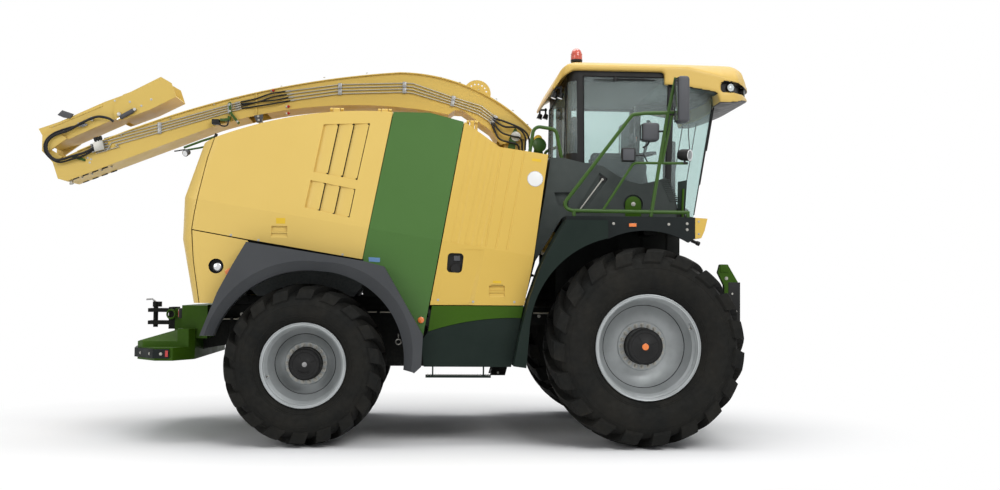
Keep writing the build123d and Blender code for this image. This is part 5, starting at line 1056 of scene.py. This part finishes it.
door_trim = Piece("door_trim", "door", GREY, SEAL, ZINC)
door_trim.use(GREY).tube([(1.930, y, z) for y, z in
                          ((0.884, 2.560), (0.928, 2.580), (0.928, 2.740), (0.884, 2.760))], 0.010, 10)
DOOR_PANE = ((1.958, 2.338), (2.672, 2.338), (2.700, 3.627), (1.958, 3.627))
door_trim.use(SEAL).tube(along_y(DOOR_PANE + DOOR_PANE[:1], 0.8785), 0.005, 6)
door_trim.use(ZINC).lathe((1.930, 0.880, 2.800), (0, 1, 0), ((0, 0.014), (0.008, 0.014), (0.010, 0.010)), 18)
door_trim.done()

# Inside of the cab: armrest, lever, terminal, dashboard and column cover
inside = Piece("cab_controls", ROOT, INSIDE, BLACK, GREY, ORANGE, STEEL)
inside.box((2.040, -0.545, 2.902), (2.430, -0.330, 2.950), 0.018)
inside.use(BLACK).hose(((2.500, -0.430, 2.895), (2.510, -0.430, 2.990), (2.490, -0.430, 3.080)), 0.014, 12)
inside.use(GREY).lathe((2.488, -0.430, 3.070), (-0.15, 0, 1), (
    (0, 0.016), (0.015, 0.034), (0.060, 0.038), (0.090, 0.030), (0.100, 0.0)), 20)
inside.use(ORANGE)
for dz in (0.02, 0.045):
    inside.lathe((2.520, -0.430, 3.085 + dz), (1, 0, 0.1), ((-0.004, 0.006), (0.004, 0.006)), 10)
inside.use(INSIDE).tube(((2.560, -0.560, 2.880), (2.600, -0.600, 3.050), (2.610, -0.620, 3.160)), 0.016, 10)
inside.use(BLACK).slab(((2.560, -0.760, 3.070), (2.640, -0.500, 3.070), (2.640, -0.500, 3.270),
                        (2.560, -0.760, 3.270)), (0.035, -0.010, 0), 0.008)
inside.use(INSIDE).slab(((2.860, -0.560, 2.262), (3.060, -0.560, 2.262), (3.060, -0.560, 2.360),
                         (2.900, -0.560, 2.440)), (0, 1.120, 0), 0.015)
inside.slab(((2.500, -0.140, 2.900), (2.640, -0.140, 2.960), (2.700, -0.140, 2.860),
             (2.660, -0.140, 2.500), (2.600, -0.140, 2.480)), (0, 0.280, 0), 0.020)
inside.use(STEEL)
for y in (-0.22, 0.14):
    inside.box((2.780, y, 2.300), (2.840, y + 0.080, 2.320), 0.004)
inside.use(INSIDE).box((1.800, -0.800, 3.640), (2.700, 0.800, 3.694), 0.012)
inside.box((2.760, -0.800, 2.266), (2.860, -0.620, 3.050), 0.015)
inside.done()

# Driver's seat: simulated pads in the place of the plain one


def soft_pad(name, low, high, corner, grow, channels):
    """A padded block, blown up as cloth with its movement capped, then seamed."""
    bm, centre, size = rounded_block(low, high, corner)
    mesh = bpy.data.meshes.new(name)
    bm.to_mesh(mesh)
    bm.free()
    obj = bpy.data.objects.new(name, mesh)
    scene.collection.objects.link(obj)
    apply_modifier(obj, "REMESH", mode="VOXEL", voxel_size=0.006)
    start = [v.co.copy() for v in obj.data.vertices]
    cloth = obj.modifiers.new("cloth", "CLOTH")
    cloth.settings.use_pressure = True
    cloth.settings.uniform_pressure_force = 4
    cloth.settings.effector_weights.gravity = 0
    for number in range(1, 21):
        scene.frame_set(number)
    bpy.ops.object.modifier_apply(modifier="cloth")
    scene.frame_set(1)
    for vert, old in zip(obj.data.vertices, start):
        move = vert.co - old
        if move.length > grow:
            vert.co = old + move.normalized() * grow
    axis, ends, across = channels
    for vert in obj.data.vertices:
        for at in across:
            gap = abs(vert.co.y - at) / 0.012
            if gap < 1 and ends[0] < vert.co[axis] < ends[1]:
                vert.co -= vert.normal * 0.007 * (1 - gap * gap)
    apply_modifier(obj, "SUBSURF", levels=1)
    obj.data.shade_smooth()
    obj.data.materials.append(CLOTH)
    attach(obj, ROOT)
    return obj


cushion = soft_pad("seat_cushion", (1.925, -0.225, 2.722), (2.375, 0.225, 2.815), 0.036, 0.022,
                   (0, (1.97, 2.33), (-0.12, 0.12)))
soft_pad("seat_backrest", (1.850, -0.215, 2.800), (1.925, 0.215, 3.395), 0.034, 0.022,
         (2, (2.86, 3.33), (-0.12, 0.12)))
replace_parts(cushion, "driver_seat")
seat_parts = Piece("seat_shell", ROOT, BLACK, PIPING, GREY)
seat_parts.box((1.905, -0.240, 2.7005), (2.390, 0.240, 2.716), 0.006)
seat_parts.box((1.822, -0.190, 2.780), (1.836, 0.190, 3.380), 0.006)
for side in (-1, 1):
    seat_parts.use(BLACK).tube(((1.900, side * 0.246, 2.705), (1.850, side * 0.244, 2.850),
                                (1.832, side * 0.200, 3.000)), 0.012, 10)
    seat_parts.use(PIPING).hose(((1.935, side * 0.236, 2.768), (2.150, side * 0.247, 2.772),
                                 (2.365, side * 0.236, 2.768)), 0.004, 8)
seat_parts.use(GREY).box((1.955, 0.262, 2.902), (2.300, 0.330, 2.938), 0.014)
seat_parts.tube(((1.900, 0.250, 2.800), (1.930, 0.290, 2.900), (2.000, 0.296, 2.905)), 0.014, 10)
seat_parts.done()

# Plinth beside the cab: strut in its channel, boss, vent fins and the edge plate
plinth = Piece("plinth_fittings", ROOT, BLACK, GREEN_LOW, ZINC, PLASTIC, GREEN_DARK)
plinth.lathe((2.044, -1.146, 2.612), (0, 1, 0), ((0, 0.034), (0.012, 0.030), (0.013, 0.0)), 28)
plinth.use(ZINC).tube(((2.040, -1.143, 2.606), (1.800, -1.143, 2.279)), 0.0085, 12)
plinth.lathe((2.040, -1.149, 2.606), (0, 1, 0), ((0, 0.012), (0.010, 0.012)), 16)
plinth.use(BLACK).lathe((1.786, -1.146, 2.262), (0, 1, 0), ((0, 0.026), (0.012, 0.026)), 16)
arch = [(2.349 - 0.080 * cos(pi * k / 18), 2.362 + 0.080 * sin(pi * k / 18)) for k in range(19)]
plinth.use(GREEN_LOW).plate([(2.269, 2.222)] + arch + [(2.429, 2.222)], -1.156, 0.030, 0.002)
plinth.use(ZINC).bolt((2.349, -1.156, 2.365), (0, -1, 0), 0.014, 0.012)
plinth.use(PLASTIC)
for k in range(12):
    x, z = lerp((2.686, 2.606), (2.776, 2.398), k / 11)
    plinth.plate(((x - 0.060, z - 0.006), (x + 0.038, z + 0.001), (x + 0.030, z + 0.010),
                  (x - 0.056, z + 0.006)), -1.156, 0.200, 0.001)
plinth.use(GREEN_DARK)
plinth.plate(((2.795, 2.592), (2.887, 2.611), (2.868, 2.323), (2.790, 2.309)), -1.180, 0.018, 0.003)
plinth.use(GREEN_LOW).tube(along_y(((2.846, 2.520), (2.838, 2.360), (2.838, 2.235)), -1.190), 0.011, 10)
plinth.use(BLACK).box((2.792, -1.166, 2.219), (2.872, -1.120, 2.330), 0.004)
plinth.done()

# Platform: tread sheet, reflectors, bolts and the brackets below the beams
deck = Piece("platform_fittings", ROOT, MAT, ORANGE, ZINC, GREEN_LOW, BLACK, BEAM)
for y0, y1 in ((-1.405, -1.160), (0.930, 1.405)):
    deck.use(MAT).box((1.660, y0, 2.2195), (2.870, y1, 2.2255), 0.001)
deck.box((2.815, -0.900, 2.2195), (2.870, 0.900, 2.2255), 0.001)
for side in (-1, 1):
    deck.use(ORANGE).side_box(side, (2.250, 1.4502, 2.122), (2.322, 1.4602, 2.154), 0.003)
    deck.use(BLACK).side_box(side, (2.242, 1.4502, 2.115), (2.330, 1.4542, 2.161), 0.001)
    deck.use(ZINC).side_bolts(side, ((2.820, 2.158), (2.820, 2.100), (2.100, 2.150), (2.640, 2.150)), 1.450,
                              0.009, 0.008)
    deck.side_bolts(side, ((2.935, 2.180), (2.935, 2.060)), 1.450, 0.007, 0.006)
    deck.use(GREEN_LOW).side_box(side, (2.560, 1.300, 2.080), (2.690, 1.410, 2.178))
    deck.side_box(side, (2.740, 1.300, 2.060), (2.800, 1.410, 2.178))
    deck.use(BEAM)
    for k in range(7):
        x = 1.72 + 0.17 * k
        deck.side_box(side, (x, 0.920, 2.160), (x + 0.030, 1.400, 2.1785), 0.002)
deck.use(BLACK).lathe((2.900, -1.300, 2.000), (1, 0, -0.4), (
    (0, 0.016), (0.05, 0.016), (0.055, 0.022), (0.085, 0.022), (0.09, 0.012)), 12)
deck.hose(((2.905, -1.300, 1.996), (2.860, -1.300, 2.030), (2.790, -1.300, 2.090),
           (2.700, -1.300, 2.130)), 0.010)
deck.done()

# Body side: signs left blank, reflectors, labels and caps
SIGN_AT = (1.361, 2.594)
LOUVRE_FIELDS = (((-0.709, 3.100), (-0.260, 3.120), (-0.372, 2.553), (-0.794, 2.629)),
                 ((-0.819, 2.546), (-0.388, 2.464), (-0.440, 2.186), (-0.869, 2.279)))
for side_name, side in SIDES:
    lid = Piece(f"service_lid_trim_{side_name}", f"service_lid_{side_name}", WHITE, SEAL, YELLOW, ZINC)
    sign = on_hood([SIGN_AT], side, -0.001)[0]
    face = (0, side, 0.105)
    lid.lathe(sign, face, ((-0.004, 0.078), (0.001, 0.078), (0.002, 0.074)), 48)
    lid.use(SEAL).ring(sign, face, 0.0745, 0.0022, 56)
    for corners in (((1.330, 2.800), (1.420, 2.790), (1.422, 2.762), (1.332, 2.772)),
                    ((0.950, 1.590), (1.030, 1.590), (1.030, 1.566), (0.950, 1.566))):
        stick_label(lid, YELLOW, corners, side)
    lid.use(ZINC).side_bolts(side, ((0.420, 1.400), (0.760, 1.385), (1.160, 1.385)), HOOD_HALF_Y, 0.008,
                             0.004)
    lid.use(SEAL).tube(((0.930, side * 1.2885, 1.548), (1.050, side * 1.2885, 1.548)), 0.003, 6)
    lid.done()

    # louvres: a dark screen behind three bays of curved scoops in each field
    lid = Piece(f"engine_lid_trim_{side_name}", f"engine_lid_{side_name}", SCREEN, YELLOW, BEIGE, ZINC)
    for corners in LOUVRE_FIELDS:
        middle = lerp(lerp(corners[0], corners[2], 0.5), lerp(corners[1], corners[3], 0.5), 0.5)
        grown = [lerp(middle, corner, 1.07) for corner in corners]
        lid.use(SCREEN).slab(on_hood(grown, side, 0.038), (0, -0.005 * side, 0), 0)
        for bay in range(3):
            rows = []
            for k in range(7):
                share = k / 6
                across = (bay + 0.045 + 0.90 * share) / 3
                line = [lerp(lerp(corners[0], corners[1], across), lerp(corners[3], corners[2], across),
                             0.03 + 0.94 * m / 6) for m in range(7)]
                depth = 0.003 + 0.026 * (1 - sin(share * pi / 2))
                rows.append((on_hood(line, side, depth), on_hood(line[::-1], side, depth + 0.003)))
            lid.use(BEIGE).skin([outer_row + inner_row for outer_row, inner_row in rows])
    stick_label(lid, YELLOW, ((-1.137, 2.172), (-1.050, 2.172), (-1.049, 2.118), (-1.136, 2.118)), side)
    lid.use(ZINC).side_bolts(side, ((-1.560, 2.003), (-1.300, 1.958), (-0.500, 1.828)), HOOD_HALF_Y, 0.008,
                             0.004)
    lid.done()

# Dark seals behind the gaps of the side panels
GAPS = (
    ((-1.741, 2.990), (-1.810, 2.751), (-1.867, 2.458), (-1.915, 2.199), (-1.936, 2.056),
     (-1.916, 1.761), (-1.860, 1.380)),
    ((-0.036, 3.190), (-0.316, 1.795)),
    ((0.680, 3.100), (0.670, 3.000), (0.344, 1.370)),
    ((-1.925, 2.046), (-1.402, 1.958), (-0.320, 1.784)),
)
gap_seals = Piece("panel_gap_seals", ROOT, SEAL)
for line in GAPS:
    for side in (-1, 1):
        gap_seals.tube(on_hood(refine(line, 0.15), side, 0.050), 0.016, 8)
gap_seals.done()

marks = Piece("side_reflectors", ROOT, ORANGE, PALE_BLUE, ZINC, BLACK, CHROME, GREY)
for side in (-1, 1):
    # columns: X, half width y, Z and radius of a round reflector
    for x, y, z, radius in ((0.259, 1.2845, 1.205, 0.030), (-2.010, 0.7605, 1.044, 0.032)):
        marks.use(ORANGE).lathe((x, side * y, z), (0, side, 0), (
            (0, radius), (0.006, radius), (0.010, radius - 0.007), (0.011, 0.0)), 24)
    small = ((-1.610, 1.662), (-1.566, 1.690), (-1.552, 1.655), (-1.600, 1.625))
    marks.use(ORANGE).slab(on_hood(small, side, -0.008), (0, -0.012 * side, 0), 0.002)
    stick_label(marks, PALE_BLUE, ((-0.251, 1.806), (-0.142, 1.800), (-0.142, 1.758), (-0.248, 1.764)), side)
    # round filler with its silver cap, sunk in the rear side panel
    cup = (-1.695, side * 1.288, 1.706)
    marks.use(BLACK).lathe(cup, (0, -side, 0), ((0, 0.070), (0.060, 0.068), (0.062, 0.0)), 36, False)
    marks.use(CHROME).lathe((-1.690, side * 1.232, 1.698), (0, side, 0),
                            ((0, 0.044), (0.016, 0.044), (0.024, 0.032), (0.027, 0.0)), 32)
    # tank filler behind the opening of the service panel
    marks.use(BLACK).plate(((0.490, 1.870), (0.690, 1.866), (0.660, 1.640), (0.480, 1.650)),
                           min(side * 1.239, side * 1.245), 0.006, 0)
    marks.lathe((0.588, side * 1.239, 1.700), (0, side, 0), (
        (0, 0.055), (0.022, 0.055), (0.030, 0.046), (0.032, 0.0)), 28)
    marks.use(GREY).side_box(side, (0.570, 1.244, 1.780), (0.630, 1.262, 1.830))
    marks.use(CHROME).side_box(side, (0.560, 1.244, 1.605), (0.592, 1.262, 1.655), 0.003)
marks.done()

# Rear hood: screen behind the slots, handle, locks and the lamp on its bracket
tail = Piece("rear_hood_fittings", "tail_hood", GRILLE, BLACK, WHITE, GREEN_TUBE, GREY, ZINC, CHROME)
tail.slab(((-1.928, -0.790, 1.500), (-1.990, -0.790, 1.760), (-1.980, -0.790, 2.045),
           (-1.862, -0.790, 2.570), (-1.856, -0.790, 2.568), (-1.974, -0.790, 2.044),
           (-1.984, -0.790, 1.760), (-1.922, -0.790, 1.498)), (0, 1.580, 0), 0)
tail.use(BLACK).tube(((-1.955, -0.110, 1.440), (-1.995, -0.105, 1.440), (-1.995, 0.105, 1.440),
                      (-1.955, 0.110, 1.440)), 0.011, 10)
for y in (-0.9, 0.9):
    tail.use(ZINC).lathe((-1.955, y, 1.420), (-1, 0, 0), ((0, 0.024), (0.022, 0.024), (0.026, 0.016)), 16)
tail.use(GREEN_TUBE).tube(((-1.900, -0.400, 2.872), (-1.905, -0.400, 3.060), (-2.024, -0.400, 3.020),
                           (-2.214, -0.400, 2.944)), 0.012, 10)
tail.tube(((-1.903, -0.400, 2.985), (-2.050, -0.400, 2.946), (-2.209, -0.400, 2.915)), 0.010, 10)
tail.box((-1.935, -0.440, 2.862), (-1.865, -0.360, 2.880), 0.003)
tail.use(BLACK).hose(((-2.200, -0.400, 2.925), (-2.270, -0.400, 2.912), (-2.310, -0.400, 2.905)), 0.007)
LAMP_AT, LAMP_WAY = (-2.180, -0.400, 2.895), (-0.45, -0.8, -0.4)
tail.use(GREY).lathe(LAMP_AT, LAMP_WAY, ((-0.03, 0.020), (-0.02, 0.030), (0.03, 0.036), (0.036, 0.034)), 18)
tail.use(CHROME).lathe(LAMP_AT, LAMP_WAY, ((0.034, 0.033), (0.039, 0.024), (0.040, 0)), 18)
tail.done()

# Rear end: bumper bolts and ends, hitch details
rear = Piece("rear_end_fittings", ROOT, ZINC, RED, GREEN_LOW, BLACK, STEEL, WHITE)
for side in (-1, 1):
    for x, y in ((-2.235, 1.122), (-2.355, 1.072), (-2.475, 0.932)):
        normal = Vector((0, side, 0)) if x > -2.3 else Vector((-0.76, 0.65 * side, 0))
        rear.use(ZINC).bolt((x, side * y, 0.858), normal, 0.010, 0.007)
    for y in (0.10, 0.35):
        rear.bolt((-2.620, side * y, 0.858), (-1, 0, 0), 0.010, 0.007)
    rear.use(RED).side_box(side, (-2.192, 1.1225, 0.830), (-2.166, 1.127, 0.890), 0.001)
for a in turns(6):
    rear.use(ZINC).bolt((-2.402, 0.075 * cos(a), 1.175 + 0.075 * sin(a)), (-1, 0, 0), 0.011, 0.010)
rear.use(GREEN_LOW).ring((-2.365, -0.150, 1.215), (0.3, 1, 0), 0.046, 0.011, 28)
rear.use(STEEL).tube(((-2.560, 0.0, 1.340), (-2.600, 0.0, 1.372), (-2.660, 0.0, 1.366)), 0.009, 10)
for y, cap_look in ((0.20, RED), (0.28, BLACK), (0.36, RED), (-0.28, BLACK)):
    rear.use(BLACK).lathe((-2.125, y, 1.160), (-1, 0, 0), (
        (0, 0.020), (0.020, 0.020), (0.024, 0.015), (0.050, 0.015)), 14)
    rear.use(cap_look).lathe((-2.173, y, 1.160), (-1, 0, 0),
                             ((0, 0.017), (0.016, 0.017), (0.020, 0.010)), 14)
rear.use(BLACK).box((-2.128, -0.560, 1.120), (-2.118, -0.200, 1.190), 0.003)
rear.use(WHITE).box((-2.132, -0.550, 1.125), (-2.128, -0.210, 1.185), 0.001)
rear.done()

# Dark inner sheets of the wheel arches, with pressed ribs
liner = Piece("wheel_arch_liners", ROOT, DARK, ZINC)
# columns: side-view outline, half width y of the outer face
LINERS = (
    (((-1.900, 1.330), (1.300, 1.330), (1.300, 1.420), (-1.900, 1.420)), 0.362),
    (((-2.030, 0.860), (-1.640, 0.930), (-1.640, 1.180), (-2.030, 1.180)), 0.402),
    (((-0.340, 0.700), (0.320, 0.700), (0.320, 1.330), (-0.340, 1.330)), 0.402),
    (((-1.900, 1.420), (-1.510, 1.420), (-1.510, 2.050), (-1.900, 2.050)), 0.606),
    (((-0.340, 1.420), (0.310, 1.420), (0.310, 2.050), (-0.340, 2.050)), 0.606),
    (((1.620, 1.400), (2.900, 1.400), (2.900, 2.176), (1.620, 2.176)), 0.806),
)
for outline, half_y in LINERS:
    for side in (-1, 1):
        liner.plate(outline, side * half_y, -side * 0.006, 0.001)
        (x0, z0), (x1, z1) = outline[0], outline[2]
        ribs = max(2, int((x1 - x0) / 0.24))
        for k in range(ribs):
            x = x0 + (x1 - x0) * (k + 0.5) / ribs
            liner.side_box(side, (x - 0.012, half_y - 0.001, z0 + 0.02),
                           (x + 0.012, half_y + 0.009, z1 - 0.02), 0.003)
liner.done()

# Top of the body: walkway sheets, screws and the exhaust outlet
top = Piece("deck_fittings", ROOT, MAT, ZINC, BLACK, STEEL)


def deck_z(x):
    """Height of the hood's roof line: an arc from the rear, then level."""
    level_from = (-0.031, 3.237)
    mid_x, mid_z, radius = arc_centre((-1.850, 2.905), (-0.960, 3.180), level_from)
    if x < level_from[0]:
        return mid_z + sqrt(radius ** 2 - (x - mid_x) ** 2)
    return level_from[1]


for side in (-1, 1):
    line = [-1.60 + 0.1 * k for k in range(20)]
    y0, y1 = sorted((side * 0.480, side * 0.900))
    outline = [(x, deck_z(x) + 0.004) for x in line] + [(x, deck_z(x) - 0.004) for x in line[::-1]]
    top.use(MAT).plate(outline, y0, y1 - y0, 0)
    for x in line[::3]:
        for y in (y0 - 0.03, y1 + 0.03):
            top.use(ZINC).bolt((x, y, deck_z(x)), (0, 0, 1), 0.008, 0.005)
top.use(STEEL).lathe((0.150, 0.0, 3.225), (0, 0, 1), (
    (0, 0.110), (0.050, 0.110), (0.056, 0.104), (0.050, 0.098), (0.010, 0.098), (0.008, 0.0)), 36)
top.done()

# Step bar treads and two rings ahead of the rear wheel
step = Piece("step_treads", ROOT, ZINC)
for side in (-1, 1):
    for k in range(24):
        x = 0.325 + 0.0255 * k
        step.plate(((x, 0.673), (x + 0.012, 0.673), (x + 0.009, 0.681), (x + 0.003, 0.681)),
                   min(side * 1.190, side * 1.284), 0.094, 0)
    step.ring((0.040, side * 1.100, 0.985), (0, 1, 0.2), 0.026, 0.006, 24)
    step.ring((0.040, side * 1.100, 1.045), (1, 0, 0.1), 0.020, 0.005, 24)
step.done()

# Access ladder: tread sheets, bolts and the handrail
LADDER_FOOT = (1.080, 0.480)
LADDER_RUN, LADDER_RISE = 0.500, 1.698
ladder = Piece("ladder_fittings", ROOT, ZINC, GREEN_TUBE, MAT)
for i in range(6):
    z = 0.500 + 0.290 * i
    x = LADDER_FOOT[0] + (z - LADDER_FOOT[1]) * LADDER_RUN / LADDER_RISE
    ladder.use(MAT).box((x + 0.015, 1.165, z + 0.025), (x + 0.165, 1.460, z + 0.030), 0.001)
    for y in (1.156, 1.490):
        ladder.use(ZINC).bolt((x + 0.090, y, z + 0.012), (0, 1 if y > 1.4 else -1, 0), 0.009, 0.006)
ladder.use(GREEN_TUBE).hose(((1.600, 1.508, 2.150), (1.500, 1.512, 2.050), (1.360, 1.512, 1.560),
                             (1.200, 1.512, 0.960), (1.160, 1.506, 0.840)), 0.014, 12)
ladder.done()

# Feed rolls: bars along the drums
for name, z in (("upper", 1.170), ("lower", 0.930)):
    bars = Piece(f"roll_bars_{name}", f"{name}_roll", STEEL)
    for a in turns(12, 0.5 if name == "lower" else 0.0):
        out = Vector((cos(a), 0, sin(a)))
        along = Vector((-sin(a), 0, cos(a)))
        at = Vector((3.300, -0.395, z)) + out * 0.110
        bars.slab([at + along * run + out * rise for run, rise in
                   ((-0.009, 0), (0.009, 0), (0.006, 0.007), (-0.006, 0.007))], (0, 0.790, 0), 0.001)
    bars.done()

# Feeder front: coupling hooks, black faces of the plates, hoses with their plugs, bolts
front = Piece("feeder_fittings", "feeder", GREEN_LOW, HOSE, ZINC, RED_CAP, BLUE, BLACK)
for side in (-1, 1):
    front.use(GREEN_LOW).side_box(side, (3.352, 0.632, 1.700), (3.440, 0.708, 1.786), 0.010)
    front.use(ZINC).side_bolts(side, ((3.380, 1.080), (3.520, 1.300), (3.480, 1.480), (3.420, 1.640)), 0.700,
                               0.012, 0.010)
    front.side_bolts(side, [(x, z) for x in (3.120, 3.240, 3.360) for z in (1.310, 0.810)], 0.430, 0.011,
                     0.008)
    front.use(BLACK).side_box(side, (3.440, 0.637, 0.992), (3.566, 0.703, 1.600))
front.use(BLACK).box((3.440, -0.636, 1.440), (3.500, -0.470, 1.580), 0.008)
for k in range(4):
    y = -0.615 + 0.040 * k
    front.use(RED_CAP if k % 2 else BLUE).lathe((3.500, y, 1.545), (1, 0, 0), (
        (0, 0.012), (0.020, 0.012), (0.024, 0.008)), 12)
    front.use(HOSE).hose(((3.470, y, 1.455), (3.450, y + 0.010, 1.400), (3.330, y + 0.040, 1.372),
                          (3.180, y + 0.060, 1.368), (3.080, y + 0.080, 1.345)), 0.009, 8)
front.done()

# Under the machine: pipes along the rails and bolts of the gearbox
under = Piece("underbody_pipes", ROOT, PIPE, ZINC, HOSE, DARK)
for side in (-1, 1):
    for k in range(3):
        y = side * (0.380 + 0.030 * k)
        under.use(PIPE).tube(((-1.900, y, 1.180), (-1.000, y, 1.180), (-0.940, y, 1.260), (1.900, y, 1.260),
                              (2.250, y, 1.200)), 0.009, 8)
    for x in (-1.70, -0.20, 0.60, 1.40):
        z = 1.180 if x < -1 else 1.260
        under.use(DARK).side_box(side, (x, 0.354, z - 0.016), (x + 0.030, 0.460, z + 0.016), 0.003)
    under.use(ZINC).side_bolts(side, [(x, 1.225) for x in (-1.6, -1.2, 0.4, 0.9, 1.5)], 0.355, 0.012, 0.010)
    under.side_bolts(side, [(2.420 + 0.142 * cos(a), 0.965 + 0.142 * sin(a)) for a in turns(14)], 1.0, 0.009,
                     0.005)
under.done()

# Floor: white beyond the machine's soft shadow
floor_mesh = bpy.data.meshes.new("floor")
floor_mesh.from_pydata([(-60, -40, 0), (60, -40, 0), (60, 80, 0), (-60, 80, 0)], [], [(0, 1, 2, 3)])
floor = bpy.data.objects.new("floor", floor_mesh)
scene.collection.objects.link(floor)

# extent of the floor's grey in X and Y
SHADE_X, SHADE_Y = 5.6, 4.2
pale = Shader("pale_floor", 0.9, 0.0, 0.0)
pale.colour(pale.mix(pale.noise(0.6, 2), (0.90, 0.90, 0.90), (0.92, 0.92, 0.92)))
far_x = pale.math("MULTIPLY", pale.axis("X"), 1 / SHADE_X)
far_y = pale.math("MULTIPLY", pale.axis("Y"), 1 / SHADE_Y)
far = pale.math("ADD", pale.math("MULTIPLY", far_x, far_x), pale.math("MULTIPLY", far_y, far_y))
white_share = pale.math("MULTIPLY", pale.remap(far, 0.35, 1.0), pale.background_share())
pale.mix_shader(white_share, pale.bsdf.outputs["BSDF"],
                pale.node("Emission", {"Color": (1, 1, 1), "Strength": 1.0}, "Emission"),
                "Material Output")
floor.data.materials.append(pale.mat)

# World and lights: bluish daylight for the shapes, plain white for the background
world = bpy.data.worlds.new("studio")
scene.world = world
world.use_nodes = True
sky = Graph(world.node_tree)
daylight = sky.tree.nodes["Background"]
daylight.inputs["Color"].default_value = (0.94, 0.96, 1.0, 1)
daylight.inputs["Strength"].default_value = 0.42
sky.mix_shader(sky.background_share(), daylight.outputs["Background"],
               sky.node("Background", {"Color": (1, 1, 1), "Strength": 1.0}, "Background"), "World Output")


def area_light(name, place, target, size, power):
    lamp = bpy.data.lights.new(name, "AREA")
    lamp.shape = "RECTANGLE"
    lamp.size, lamp.size_y = size
    lamp.energy = power
    holder = bpy.data.objects.new(name, lamp)
    scene.collection.objects.link(holder)
    holder.location = place
    holder.rotation_euler = (Vector(target) - Vector(place)).to_track_quat("-Z", "Y").to_euler()


area_light("key", (6, -10, 10), (0, 0, 1.6), (8, 6), 900)
area_light("fill", (-9, -10, 6), (-1, 0, 1.5), (7, 6), 330)
area_light("top", (0, 1, 13), (0, 0, 1), (12, 9), 1150)

camera = bpy.data.cameras.new("camera")
camera.sensor_width = 36
camera.lens = 38.88
camera.clip_end = 200
CAMERA_AT = (0.2847, -11.7438, 1.520)
holder = bpy.data.objects.new("camera", camera)
scene.collection.objects.link(holder)
scene.camera = holder
yaw, pitch, roll = radians(4.0), radians(2.28), radians(0.5)
ahead = Vector((sin(yaw) * cos(pitch), cos(yaw) * cos(pitch), sin(pitch)))
right = Vector((cos(yaw), -sin(yaw), 0))
up = right.cross(ahead)
turned_right = right * cos(roll) + up * sin(roll)
turned_up = up * cos(roll) - right * sin(roll)
view = Matrix((turned_right, turned_up, -ahead)).transposed().to_4x4()
view.translation = CAMERA_AT
holder.matrix_world = view
scene.view_settings.view_transform = "Standard"
